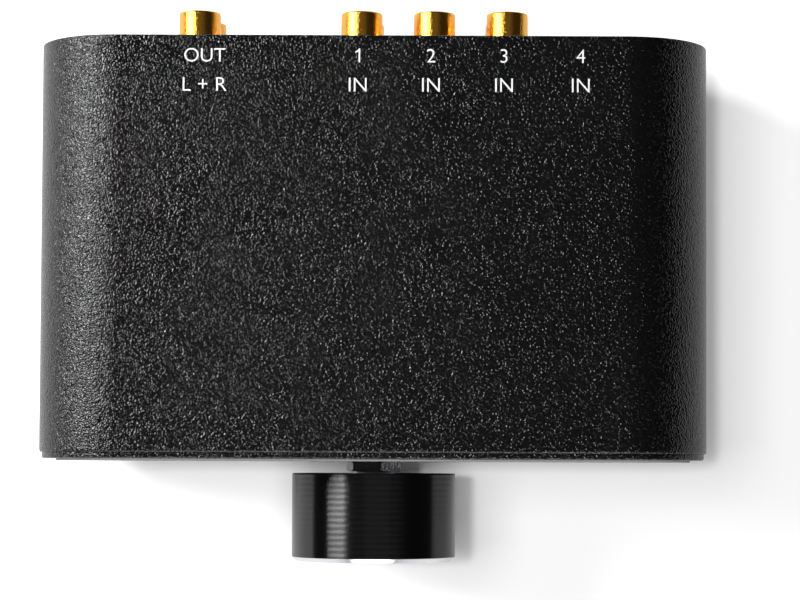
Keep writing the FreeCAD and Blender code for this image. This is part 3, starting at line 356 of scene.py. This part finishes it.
# Moulded ABS, spark-eroded grain: a dull black skin of fine round bumps, with a coarser swell
# under them. The bumps' flanks catch the lamp as sparks. The real bumps are too fine to show,
# so they are drawn a little coarser.
GRAIN = 0.3 * MM
SWELL = 0.8 * MM
SWELL_SHARE = 0.6
GRAIN_DEPTH = 0.2 * MM
grained_abs, tree, surface, places = finish("black_abs_leather_grain", "#030303", 0.18)
fine = add(tree, "ShaderNodeTexNoise", {"Vector": places, "Scale": 1 / GRAIN, "Detail": 0.3})
swell = add(tree, "ShaderNodeTexNoise", {"Vector": places, "Scale": 1 / SWELL, "Detail": 1.0})
relief = add(tree, "ShaderNodeMath", {
    0: swell.outputs["Fac"], 1: SWELL_SHARE, 2: fine.outputs["Fac"],
}, operation="MULTIPLY_ADD")
roughen(tree, surface, relief.outputs[0], GRAIN_DEPTH)

cover = half_wall("grained_cover", 1)
base = half_wall("grained_base", 3)
POST_RADIUS = 4.6 * MM
SINK_RADIUS = 3.1 * MM
SINK_DEPTH = 12 * MM
SCREW_HOLE = 1.65 * MM
HEAD_RADIUS = 2.8 * MM
screw_low, screw_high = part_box("case_screws")
post_ends = (case_bottom + WALL / 2, joint_height - JOINT_BEVEL)
posts, sinks = [], []
for x in (screw_low.x + HEAD_RADIUS, screw_high.x - HEAD_RADIUS):
    for y in (screw_low.y + HEAD_RADIUS, screw_high.y - HEAD_RADIUS):
        posts.append(bar(POST_RADIUS, x, y, post_ends, way="z"))
        sinks.append(bar(SINK_RADIUS, x, y, (case_bottom - PAST, case_bottom + SINK_DEPTH), way="z"))
        sinks.append(bar(SCREW_HOLE, x, y, (case_bottom, joint_height + PAST), way="z"))
FOOT_GAP = 0.15 * MM
for end in ("front", "rear"):
    for side in ("left", "right"):
        low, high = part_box(f"foot_{end}_{side}")
        middle, radius = (low + high) / 2, (high.x - low.x) / 2
        sinks.append(bar(radius + FOOT_GAP, middle.x, middle.y, (case_bottom - PAST, high.z), way="z"))
cut(base, posts, operation="UNION")
cut(base, sinks)
done(cover, grained_abs, "case", "case_black", "top_shell")
done(base, grained_abs, "case", "case_black", "bottom_shell")


# Front
# A moulded bezel closes the front, with the same grain. A glossy plate is stuck on it.

bezel_low, bezel_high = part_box("front_panel")
plate_low, plate_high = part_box("front_plate")


def slab(name, half, low, high, front, rear, rounding):
    """An upright plate whose outline runs inside the case's, softened round its front edge."""
    outline = [(rounding * 2, rear), (0, rear), (0, front + rounding)]
    steps = 5
    for step in range(1, steps + 1):
        angle = math.pi / 2 * step / steps
        outline.append((rounding * (1 - math.cos(angle)), front + rounding * (1 - math.sin(angle))))
    outline += [(rounding + SUPPORT, front), (rounding * 2, front)]
    radius = CORNER_RADIUS - (case_high.x - half)
    path = section(half, low, high, radius, 0, 3)
    rings = []
    for depth, y in outline:
        ring = []
        for place, way in path:
            spot = place - way * depth
            ring.append((spot.x, y, spot.y))
        rings.append(ring)
    return lofted(name, rings, closed_path=False)


BEZEL_LAP = 0.02 * MM
BEZEL_ROUNDING = 0.4 * MM
bezel = slab(
    "grained_bezel", bezel_high.x, bezel_low.z, bezel_high.z,
    plate_high.y, case_low.y + BEZEL_LAP, BEZEL_ROUNDING,
)
done(bezel, grained_abs, "case", "case_black", "front_panel")

# Engraving laminate: a glossy black skin on a pale core. The sheet's sawn edge shows the core
# as a fine line.
PLATE_ROUNDING = 0.12 * MM
CORE_NORMAL = 0.9
laminate, tree, surface, places = finish("black_engraving_laminate", "#050506", 0.06, ior=1.49)
waves = add(tree, "ShaderNodeTexNoise", {"Vector": places, "Scale": 1 / (9 * MM), "Detail": 1.0})
roughen(tree, surface, waves.outputs["Fac"], 0.02 * MM)
core, tree, surface, places = finish("pale_laminate_core", "#8a8a8a", 0.6)
saw = add(tree, "ShaderNodeTexNoise", {"Vector": places, "Scale": 1 / (0.2 * MM), "Detail": 2.0})
roughen(tree, surface, saw.outputs["Fac"], 0.03 * MM)
plate = slab(
    "glossy_plate", plate_high.x, plate_low.z, plate_high.z, plate_low.y, plate_high.y, PLATE_ROUNDING
)
for material in (laminate, core):
    plate.data.materials.append(material)
for polygon in plate.data.polygons:
    polygon.material_index = int(abs(polygon.normal.y) < CORE_NORMAL)
done(plate, laminate, "case", "plate_black", "front_plate")


# Feet
# Four feet of black moulded rubber, each set into a round seat in the base, with a dished sole
# and a soft edge.

# Moulded rubber: a matt, slightly dusty black.
rubber, tree, surface, places = finish("black_moulded_rubber", "#161616", 0.75)
dust = add(tree, "ShaderNodeTexNoise", {"Vector": places, "Scale": 1 / (0.3 * MM), "Detail": 3.0})
roughen(tree, surface, dust.outputs["Fac"], 0.04 * MM)
DISH = 0.35 * MM
DISH_SHARE = 0.55
SOLE_SHARE = 0.62
TAPER = 0.1 * MM
for end in ("front", "rear"):
    for side in ("left", "right"):
        low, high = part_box(f"foot_{end}_{side}")
        middle, radius = (low + high) / 2, (high.x - low.x) / 2
        outline = softened([
            (0, low.z + DISH), (radius * DISH_SHARE, low.z + DISH, 0.3 * MM),
            (radius * SOLE_SHARE, low.z, 0.15 * MM), (radius - TAPER, low.z, 0.5 * MM),
            (radius, high.z, 0.1 * MM), (0, high.z),
        ])
        foot = turned(f"rubber_foot_{end}_{side}", outline, middle.x, middle.y, way="z", steps=64)
        done(foot, rubber, "case", "rubber", f"foot_{end}_{side}")


# Rear panel
# A flat moulded panel of the same ABS, set into the shells' groove, with a hole per socket.

panel_low, panel_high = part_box("rear_panel")
PANEL_ROUNDING = 0.1 * MM
panel = slab(
    "rear_sheet", panel_high.x, panel_low.z, panel_high.z, panel_low.y, panel_high.y, PANEL_ROUNDING
)
SHELL_RADIUS = 4.15 * MM
NECK_RADIUS = 4.45 * MM
ROW_SPACING = 12.5 * MM
PITCH = 14.55 * MM
INPUTS = ("input_1", "input_2", "input_3")
places_x = {}
for name in ("output",) + INPUTS:
    low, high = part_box(f"{name}_shells")
    places_x[name] = (low.x + high.x) / 2
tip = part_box("output_shells")[1].y
screw_low, screw_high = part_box("jack_screws")
middle_row = (screw_low.z + screw_high.z) / 2
lower_row, upper_row = middle_row - ROW_SPACING / 2, middle_row + ROW_SPACING / 2
small_low, small_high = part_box("aux_jack_body")
NOSE_RADIUS = 2.9 * MM
SMALL_BORE = 1.8 * MM
small_x, small_z = (small_low.x + small_high.x) / 2, (small_low.z + small_high.z) / 2
HOLE_GAP = 0.1 * MM
through = (panel_low.y - PAST, panel_high.y + PAST)
tools = []
for x in places_x.values():
    for z in (lower_row, upper_row):
        tools.append(bar(NECK_RADIUS + HOLE_GAP, x, z, through))
tools.append(bar(NOSE_RADIUS + HOLE_GAP, small_x, small_z, through))
cut(panel, tools)
done(panel, grained_abs, "case", "panel_black", "rear_panel")


# Phono sockets
# Turned brass shells, gold-plated, in pairs: a white insulator above, a red one below.

def grid_tree():
    """Copies of a piece in columns and rows."""
    tree = bpy.data.node_groups.new("grid_of_copies", "GeometryNodeTree")
    names = {}
    for name, kind in (
        ("Piece", "NodeSocketGeometry"), ("Columns", "NodeSocketInt"), ("Column step", "NodeSocketVector"),
        ("Rows", "NodeSocketInt"), ("Row step", "NodeSocketVector"), ("Finish", "NodeSocketMaterial"),
    ):
        names[name] = tree.interface.new_socket(name, in_out="INPUT", socket_type=kind).identifier
    tree.interface.new_socket("Copies", in_out="OUTPUT", socket_type="NodeSocketGeometry")
    given = add(tree, "NodeGroupInput").outputs
    columns = add(tree, "GeometryNodeMeshLine", {"Count": given["Columns"], "Offset": given["Column step"]})
    rows = add(tree, "GeometryNodeMeshLine", {"Count": given["Rows"], "Offset": given["Row step"]})
    spread = add(tree, "GeometryNodeInstanceOnPoints", {
        "Points": columns.outputs[0], "Instance": rows.outputs[0],
    })
    spots = add(tree, "GeometryNodeRealizeInstances", {0: spread.outputs[0]})
    copies = add(tree, "GeometryNodeInstanceOnPoints", {
        "Points": spots.outputs[0], "Instance": given["Piece"],
    })
    real = add(tree, "GeometryNodeRealizeInstances", {0: copies.outputs[0]})
    painted = add(tree, "GeometryNodeSetMaterial", {
        "Geometry": real.outputs[0], "Material": given["Finish"],
    })
    add(tree, "NodeGroupOutput", {0: painted.outputs[0]})
    return tree, names


grid, grid_inputs = grid_tree()


def copied(thing, columns, column_step, rows, row_step, material):
    """Repeat a piece in columns and rows."""
    change = thing.modifiers.new("grid", "NODES")
    change.node_group = grid
    values = {
        "Columns": columns, "Column step": column_step, "Rows": rows, "Row step": row_step,
        "Finish": material,
    }
    for name, value in values.items():
        change[grid_inputs[name]] = value
    settled(thing)


# Gold plate on turned brass: bright, a little uneven, so that lamps smear across it.
gold, tree, surface, places = finish("gold_plated_brass", "#f6b445", 0.2, metallic=1.0)
wear = add(tree, "ShaderNodeTexNoise", {"Vector": places, "Scale": 1 / (0.3 * MM), "Detail": 2.0})
roughen(tree, surface, wear.outputs["Fac"], 0.08 * MM)


def moulded_nylon(name, code):
    """Nylon as it leaves the mould: satin, and faintly mottled."""
    nylon, tree, surface, places = finish(name, code, 0.4)
    skin = add(tree, "ShaderNodeTexNoise", {"Vector": places, "Scale": 1 / (0.4 * MM), "Detail": 2.0})
    roughen(tree, surface, skin.outputs["Fac"], 0.015 * MM)
    return nylon


# Nylon insulators, moulded: a satin white for one channel, and a satin red for the other.
white_nylon = moulded_nylon("white_moulded_nylon", "#e2dfd6")
red_nylon = moulded_nylon("red_moulded_nylon", "#a81018")

shell_back = panel_low.y - MM
BORE = 3.4 * MM
PIN_HOLE = 1.65 * MM
NYLON_RADIUS = BORE - 0.03 * MM
NYLON_RECESS = 0.6 * MM
NECK_LENGTH = 0.3 * MM
NECK_END = 0.45 * MM
SOCKETS = (("output", ("output",)), ("input", INPUTS))
for name, nodes in SOCKETS:
    x, columns = places_x[nodes[0]], len(nodes)
    outline = softened([
        (BORE, shell_back), (NECK_RADIUS, shell_back),
        (NECK_RADIUS, panel_high.y + NECK_LENGTH, 0.12 * MM), (SHELL_RADIUS, panel_high.y + NECK_END),
        (SHELL_RADIUS, tip, 0.45 * MM), (BORE, tip, 0.2 * MM),
    ])
    shells = turned(f"{name}_gold_shells", outline, x, lower_row)
    copied(shells, columns, (PITCH, 0, 0), 2, (0, 0, ROW_SPACING), gold)
    done(shells, gold, "case", "gold", *[f"{node}_shells" for node in nodes])
    face = tip - NYLON_RECESS
    for label, row, material, slot in (
        ("left", upper_row, white_nylon, "white"), ("right", lower_row, red_nylon, "red"),
    ):
        outline = softened([
            (PIN_HOLE, shell_back), (NYLON_RADIUS, shell_back), (NYLON_RADIUS, face, 0.2 * MM),
            (PIN_HOLE, face, 0.4 * MM),
        ])
        inserts = turned(f"{name}_{label}_inserts", outline, x, row)
        copied(inserts, columns, (PITCH, 0, 0), 1, (0, 0, 0), material)
        done(inserts, material, "case", slot, *[f"{node}_{label}_insulator" for node in nodes])

# Black oxide on steel: dark, with an oily shine and fine tool marks. The cross-head screws
# between the sockets of each pair have it.
black_oxide, tree, surface, places = finish("black_oxide_steel", "#2b2b2e", 0.3, metallic=1.0)
marks = add(tree, "ShaderNodeTexNoise", {"Vector": places, "Scale": 1 / (0.25 * MM), "Detail": 3.0})
roughen(tree, surface, marks.outputs["Fac"], 0.03 * MM)
SHANK = MM
CROSS_REACH = 0.9 * MM
CROSS_HALF = 0.22 * MM
CROSS_DEPTH = 0.7 * MM
CROSS_TAPER = 0.45
OVER_HEAD = 0.1 * MM
head = (screw_high.z - screw_low.z) / 2
for name, nodes in SOCKETS:
    x = places_x[nodes[0]]
    outline = softened([
        (0, screw_low.y), (SHANK, screw_low.y, 0.2 * MM), (SHANK, panel_high.y),
        (head, panel_high.y, 0.05 * MM), (head, screw_high.y, 0.55 * MM), (0, screw_high.y),
    ])
    screw = turned(f"{name}_cross_screws", outline, x, middle_row, steps=48)
    cross = []
    for wide, tall in ((CROSS_REACH, CROSS_HALF), (CROSS_HALF, CROSS_REACH)):
        rings = []
        for y, share in ((screw_high.y + OVER_HEAD, 1), (screw_high.y - CROSS_DEPTH, CROSS_TAPER)):
            rings.append([
                (x + wide * share * i, y, middle_row + tall * share * k)
                for i, k in ((-1, -1), (1, -1), (1, 1), (-1, 1))
            ])
        cross.append(lofted("cross", rings, closed_path=False))
    cut(screw, cross)
    copied(screw, len(nodes), (PITCH, 0, 0), 1, (0, 0, 0), black_oxide)
    done(screw, black_oxide, "case", "dark_steel", "jack_screws")


# Small socket
# The fourth input's moulded body, whose nose ends flush in the rear panel.

# Glass-filled moulding: a satin black with a faint flow pattern.
moulding, tree, surface, places = finish("black_moulded_pbt", "#141415", 0.42)
flow = add(tree, "ShaderNodeTexNoise", {"Vector": places, "Scale": 1 / (1.2 * MM), "Detail": 4.0})
roughen(tree, surface, flow.outputs["Fac"], 0.03 * MM)
outline = softened([
    (SMALL_BORE, small_low.y + MM), (NOSE_RADIUS, small_low.y + MM),
    (NOSE_RADIUS, small_high.y, 0.25 * MM), (SMALL_BORE, small_high.y, 0.5 * MM),
])
nose = turned("small_socket_nose", outline, small_x, small_z, steps=64)
done(nose, moulding, "case", "moulding")


# Knob
# A turned black aluminium body, anodised and polished, on a brass insert. A bright rim is let
# into its front, and a black spun face with a white line lies in the rim.

def line_scale(spacing):
    """The wave texture's scale at which its lines lie this far apart."""
    return math.pi / 10 / spacing


# Black anodised aluminium, turned and polished: cutter lines too fine to see draw each
# reflection out along the knob, so it mirrors the room in strips with hard sides, and rings
# about a millimetre apart cross them as bands.
RING = 1.15 * MM
anodised, tree, surface, places = finish("black_anodised_aluminium", "#020202", 0.24, ior=1.5)
tangent = add(tree, "ShaderNodeTangent", direction_type="RADIAL", axis="Y")
tree.links.new(tangent.outputs[0], surface["Tangent"])
surface["Anisotropic"].default_value = 1.0
surface["Anisotropic Rotation"].default_value = 0.25
rings = add(tree, "ShaderNodeTexWave", {
    "Vector": places, "Scale": line_scale(RING), "Distortion": 0.6, "Detail": 1.0, "Detail Scale": 3.0,
}, bands_direction="Y")
roughen(tree, surface, rings.outputs["Fac"], 0.018 * MM)
knob_low, knob_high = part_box("knob_body")
knob_x, knob_z = (knob_low.x + knob_high.x) / 2, (knob_low.z + knob_high.z) / 2
KNOB_RADIUS = 16.5 * MM
INSERT_SEAT = 5.05 * MM
BOSS_RADIUS = 7 * MM
HOLLOW_RADIUS = 14 * MM
RIM_SEAT = 15.4 * MM
knob_back, knob_front = knob_high.y, knob_low.y
boss_back, hollow_end = knob_back - 1.2 * MM, knob_back - 12 * MM
seat_end, insert_end = knob_front + 1.6 * MM, knob_front + 5 * MM
outline = softened([
    (INSERT_SEAT, insert_end), (INSERT_SEAT, boss_back), (BOSS_RADIUS, boss_back, 0.3 * MM),
    (BOSS_RADIUS, hollow_end), (HOLLOW_RADIUS, hollow_end), (HOLLOW_RADIUS, knob_back, 0.3 * MM),
    (KNOB_RADIUS, knob_back, 0.35 * MM), (KNOB_RADIUS, knob_front, 0.05 * MM), (RIM_SEAT, knob_front),
    (RIM_SEAT, seat_end), (0, seat_end), (0, insert_end),
])
knob = turned("turned_knob", outline, knob_x, knob_z, steps=192)
done(knob, anodised, "knob", "knob_black", "knob_body")

# Bare aluminium, diamond-turned: a mirror with hair-fine rings.
bright, tree, surface, places = finish("diamond_turned_aluminium", "#e8e9ec", 0.07, metallic=1.0)
hair = add(tree, "ShaderNodeTexWave", {
    "Vector": places, "Scale": line_scale(0.12 * MM), "Distortion": 0.3,
}, bands_direction="Y")
roughen(tree, surface, hair.outputs["Fac"], 0.0008 * MM)
rim_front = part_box("knob_trim_ring")[0].y
RIM_INNER = 14.7 * MM
RIM_CREST = 15.75 * MM
RIM_BACK = 15.35 * MM
RIM_GAP = 0.02 * MM
rim_end = knob_front + 1.5 * MM
outline = softened([
    (KNOB_RADIUS - RIM_GAP, knob_front), (RIM_CREST, rim_front, 0.08 * MM),
    (RIM_INNER, rim_front, 0.08 * MM), (RIM_INNER, rim_end), (RIM_BACK, rim_end), (RIM_BACK, knob_front),
])
rim = turned("polished_rim", outline, knob_x, knob_z, steps=192)
done(rim, bright, "knob", "rim", "knob_trim_ring")

# Black anodised disc, spun against a brush: rings round the knob's axis spread each light
# into a fan.
spun, tree, surface, places = finish("black_spun_aluminium", "#16161a", 0.3, metallic=0.85)
around = add(tree, "ShaderNodeVectorMath", {0: places, 1: (knob_x, 0, knob_z)}, operation="SUBTRACT")
brushing = add(tree, "ShaderNodeTexWave", {
    "Vector": around.outputs[0], "Scale": line_scale(0.16 * MM), "Distortion": 1.2, "Detail": 2.0,
}, wave_type="RINGS", rings_direction="Y")
roughen(tree, surface, brushing.outputs["Fac"], 0.008 * MM)
face_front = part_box("knob_face")[0].y
FACE_RADIUS = 14.6 * MM
outline = softened([
    (0, rim_end), (FACE_RADIUS, rim_end), (FACE_RADIUS, face_front, 0.15 * MM), (0, face_front),
])
face = turned("spun_face", outline, knob_x, knob_z, steps=192)
done(face, spun, "knob", "knob_face", "knob_face")


# Nut
# A pressed hexagon in black nickel, its corners turned back at both faces. It clamps the
# switch's bush to the front, and its angle turns a flat towards the lamp.

nut_low, nut_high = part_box("switch_nut")
FLATS = 10 * MM
FIRST_CORNER = math.radians(15)
corner = FLATS / 2 / math.cos(math.pi / 6)
rings = []
for y in (nut_low.y, nut_high.y):
    angles = [FIRST_CORNER + math.pi / 3 * index for index in range(6)]
    rings.append([(knob_x + corner * math.cos(a), y, knob_z + corner * math.sin(a)) for a in angles])
nut = lofted("black_nut", rings, closed_path=False)
TURN_BACK = 0.35 * MM
TURN_BACK_RUN = 1.7
NUT_BORE = 3.5 * MM
land = corner - TURN_BACK * TURN_BACK_RUN
limit = turned("limit", [
    (NUT_BORE, nut_low.y), (land, nut_low.y), (corner, nut_low.y + TURN_BACK),
    (corner, nut_high.y - TURN_BACK), (land, nut_high.y), (NUT_BORE, nut_high.y),
], knob_x, knob_z)
cut(nut, [limit], operation="INTERSECT")

# Black nickel on a pressed nut: dark and shiny, its flats scuffed by the spanner.
black_nickel, tree, surface, places = finish("black_nickel_nut", "#a6a6aa", 0.16, metallic=1.0)
scuffs = add(tree, "ShaderNodeTexNoise", {"Vector": places, "Scale": 1 / (0.4 * MM), "Detail": 2.0})
roughen(tree, surface, scuffs.outputs["Fac"], 0.1 * MM)
done(nut, black_nickel, "case", "nickel", "switch_nut")


# Lettering
# Plain words and numbers, screen-printed in light grey: sockets on the cover and at the rear,
# and the knob's four positions on the front plate.

PRINT = 0.012 * MM
THINNED = 0.008
FACING_UP = Matrix.Identity(3)
FACING_FRONT = Matrix.Rotation(math.pi / 2, 3, "X")
FACING_REAR = Matrix.Rotation(math.pi, 3, "Z") @ FACING_FRONT


def figure_one():
    """A 1 with a flag, which the built-in font's doesn't have."""
    outline = (
        (0.2, 0), (0.28, 0), (0.28, 0.7), (0.22, 0.7),
        (0.15, 0.62), (0.04, 0.56), (0.04, 0.48), (0.2, 0.56),
    )
    mesh = bpy.data.meshes.new("one")
    mesh.from_pydata([(x, y, 0) for x, y in outline], [], [tuple(range(len(outline)))])
    return mesh


def lettering(name, words):
    """One thin mesh of words: each has its text, its middle, its capitals' height and its facing."""
    shape = bmesh.new()
    for text, middle, height, facing in words:
        curve = bpy.data.curves.new("word", "FONT")
        curve.body, curve.offset = text, -THINNED
        thing = bpy.data.objects.new("word", curve)
        bpy.context.scene.collection.objects.link(thing)
        evaluated = thing.evaluated_get(bpy.context.evaluated_depsgraph_get())
        mesh = figure_one() if text == "1" else bpy.data.meshes.new_from_object(evaluated)
        across, up = ([vertex.co[axis] for vertex in mesh.vertices] for axis in (0, 1))
        scale = height / (max(up) - min(up))
        centre = Vector(((min(across) + max(across)) / 2, (min(up) + max(up)) / 2, 0))
        place = Matrix.Translation(middle) @ facing.to_4x4() @ Matrix.Scale(scale, 4)
        mesh.transform(place @ Matrix.Translation(-centre))
        shape.from_mesh(mesh)
        bpy.data.objects.remove(thing)
    mesh = bpy.data.meshes.new(name)
    shape.to_mesh(mesh)
    shape.free()
    thing = bpy.data.objects.new(name, mesh)
    bpy.context.scene.collection.objects.link(thing)
    return thing


# Screen print: a thin coat of light grey ink that follows the grain.
ink, tree, surface, places = finish("light_grey_screen_print", "#bdbdbd", 0.5)
coat = add(tree, "ShaderNodeTexNoise", {"Vector": places, "Scale": 1 / GRAIN, "Detail": 0.6})
roughen(tree, surface, coat.outputs["Fac"], 0.08 * MM)
CAPITAL = 2.65 * MM
ROWS = (43.95 * MM, 38.25 * MM)
OUT_X = -32.6 * MM
COLUMNS = [x * MM for x in (-2.9, 11.33, 25.5, 40.4)]
top = case_high.z + PRINT
words = [
    ("OUT", (OUT_X, ROWS[0], top), CAPITAL, FACING_UP),
    ("L + R", (OUT_X, ROWS[1], top), CAPITAL, FACING_UP),
]
for number, x in enumerate(COLUMNS, start=1):
    words.append((str(number), (x, ROWS[0], top), CAPITAL, FACING_UP))
    words.append(("IN", (x, ROWS[1], top), CAPITAL, FACING_UP))
done(lettering("cover_print", words), ink, "case", "pointer")

DIAL_RADIUS = 19.2 * MM
DIAL_CAPITAL = 2.1 * MM
FIRST_POSITION = -45
POSITION_STEP = 30
words = []
for number in range(1, 5):
    angle = math.radians(FIRST_POSITION + POSITION_STEP * (number - 1))
    across, up = knob_x + DIAL_RADIUS * math.sin(angle), knob_z + DIAL_RADIUS * math.cos(angle)
    words.append((str(number), (across, plate_low.y - PRINT, up), DIAL_CAPITAL, FACING_FRONT))
done(lettering("dial_print", words), ink, "case", "pointer")

REAR_CAPITAL = 2.2 * MM
REAR_LIFT = 7.4 * MM
rear_face, rear_height = panel_high.y + PRINT, upper_row + REAR_LIFT
words = [("OUT", (places_x["output"], rear_face, rear_height), REAR_CAPITAL, FACING_REAR)]
for number, x in enumerate([places_x[name] for name in INPUTS] + [small_x], start=1):
    words.append((str(number), (x, rear_face, rear_height), REAR_CAPITAL, FACING_REAR))
done(lettering("rear_print", words), ink, "case", "pointer")


# Inside
# The pieces inside keep their CAD shapes and get the finishes of common switch parts.

# Zinc-plated steel: light grey, satin, faintly blotched.
zinc, tree, surface, places = finish("zinc_plated_steel", "#b4b6b8", 0.32, metallic=1.0)
blotch = add(tree, "ShaderNodeTexNoise", {"Vector": places, "Scale": 1 / (0.8 * MM), "Detail": 3.0})
roughen(tree, surface, blotch.outputs["Fac"], 0.02 * MM)

# Spring steel strip: a cold grey with rolling lines.
spring_steel, tree, surface, places = finish("rolled_spring_steel", "#8f9296", 0.25, metallic=1.0)
rolling = add(tree, "ShaderNodeTexWave", {
    "Vector": places, "Scale": line_scale(0.15 * MM), "Distortion": 1.0,
})
roughen(tree, surface, rolling.outputs["Fac"], 0.003 * MM)

# Die-cast zinc: dull grey with a fine orange-peel skin.
die_cast, tree, surface, places = finish("die_cast_zinc", "#8b8d8f", 0.45, metallic=1.0)
peel = add(tree, "ShaderNodeTexNoise", {"Vector": places, "Scale": 1 / (0.5 * MM), "Detail": 2.0})
roughen(tree, surface, peel.outputs["Fac"], 0.05 * MM)

# Plain brass, turned or stamped: warm yellow with fine cutter lines.
brass, tree, surface, places = finish("plain_brass", "#c9a253", 0.28, metallic=1.0)
cutter = add(tree, "ShaderNodeTexWave", {
    "Vector": places, "Scale": line_scale(0.2 * MM), "Distortion": 0.8,
})
roughen(tree, surface, cutter.outputs["Fac"], 0.004 * MM)

# Tinned brass terminals: a soft white metal, dipped, with slight runs.
tinned, tree, surface, places = finish("tinned_brass", "#c4c2bc", 0.3, metallic=1.0)
runs = add(tree, "ShaderNodeTexNoise", {"Vector": places, "Scale": 1 / (1.0 * MM), "Detail": 1.0})
roughen(tree, surface, runs.outputs["Fac"], 0.05 * MM)

# Glass-fibre board under green solder mask: the weave shows as faint lines.
mask, tree, surface, places = finish("green_solder_mask_board", "#1d5a34", 0.3)
weave = add(tree, "ShaderNodeTexWave", {
    "Vector": places, "Scale": line_scale(0.9 * MM), "Distortion": 0.5,
})
roughen(tree, surface, weave.outputs["Fac"], 0.01 * MM)

# Phenolic laminate: a warm brown, punched, with a papery mottle.
phenolic, tree, surface, places = finish("brown_phenolic_laminate", "#6b4022", 0.5)
mottle = add(tree, "ShaderNodeTexNoise", {"Vector": places, "Scale": 1 / (0.7 * MM), "Detail": 4.0})
shades = add(tree, "ShaderNodeMix", {
    0: mottle.outputs["Fac"], 6: colour("#5a331a"), 7: colour("#7c4d2b"),
}, data_type="RGBA")
tree.links.new(shades.outputs[2], surface["Base Color"])

# Acetal: an ivory, waxy moulding.
acetal, tree, surface, places = finish("ivory_acetal", "#ddd8c4", 0.38)
wax = add(tree, "ShaderNodeTexNoise", {"Vector": places, "Scale": 1 / (0.9 * MM), "Detail": 2.0})
roughen(tree, surface, wax.outputs["Fac"], 0.015 * MM)

# Nylon connectors: a yellowish white, sharper in the mould than acetal.
connector_nylon, tree, surface, places = finish("cream_nylon_connector", "#e3dcc0", 0.45)
mould = add(tree, "ShaderNodeTexNoise", {"Vector": places, "Scale": 1 / (0.5 * MM), "Detail": 2.0})
roughen(tree, surface, mould.outputs["Fac"], 0.01 * MM)

# Flat cable: grey vinyl, ribbed across its width where each wire runs.
WIRE_PITCH = 1.2 * MM
vinyl, tree, surface, places = finish("grey_ribbon_vinyl", "#8a8b8f", 0.4)
ribs = add(tree, "ShaderNodeTexWave", {
    "Vector": places, "Scale": line_scale(WIRE_PITCH),
}, bands_direction="X")
roughen(tree, surface, ribs.outputs["Fac"], 0.25 * MM)

# White enamel, filled into the milled line on the knob's face.
enamel, tree, surface, places = finish("white_enamel_line", "#d8d8d6", 0.3)
fill = add(tree, "ShaderNodeTexNoise", {"Vector": places, "Scale": 1 / (0.6 * MM), "Detail": 1.0})
roughen(tree, surface, fill.outputs["Fac"], 0.02 * MM)

kinds = (
    (zinc, ("case_screws", "board_screws", "shaft", "shaft_clip", "lock_washer", "switch_rivets")),
    (spring_steel, ("detent_spring",)),
    (die_cast, ("switch_bush",)),
    (brass, ("knob_insert", "switch_contacts", "wipers")),
    (tinned, ("aux_jack_springs",) + tuple(f"{name}_terminals" for name in places_x)),
    (mask, ("jack_board", "switch_board")),
    (phenolic, ("switch_base",)),
    (acetal, ("rotor",)),
    (connector_nylon, ("switch_header", "switch_plug", "board_header", "board_plug")),
    (vinyl, ("ribbon_cable",)),
    (enamel, ("knob_pointer",)),
    (moulding, ("aux_jack_body", "switch_housing") + tuple(f"{name}_housing" for name in places_x)),
    (grained_abs, ("top_shell", "bottom_shell", "front_panel", "rear_panel")),
    (laminate, ("front_plate",)),
    (rubber, tuple(f"foot_{end}_{side}" for end in ("front", "rear") for side in ("left", "right"))),
    (gold, tuple(f"{name}_shells" for name in places_x)),
    (white_nylon, tuple(f"{name}_left_insulator" for name in places_x)),
    (red_nylon, tuple(f"{name}_right_insulator" for name in places_x)),
    (black_oxide, ("jack_screws",)),
    (anodised, ("knob_body",)),
    (bright, ("knob_trim_ring",)),
    (spun, ("knob_face",)),
    (black_nickel, ("switch_nut",)),
)
for material, names in kinds:
    for name in names:
        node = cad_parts[name]
        node.data.materials.clear()
        node.data.materials.append(material)
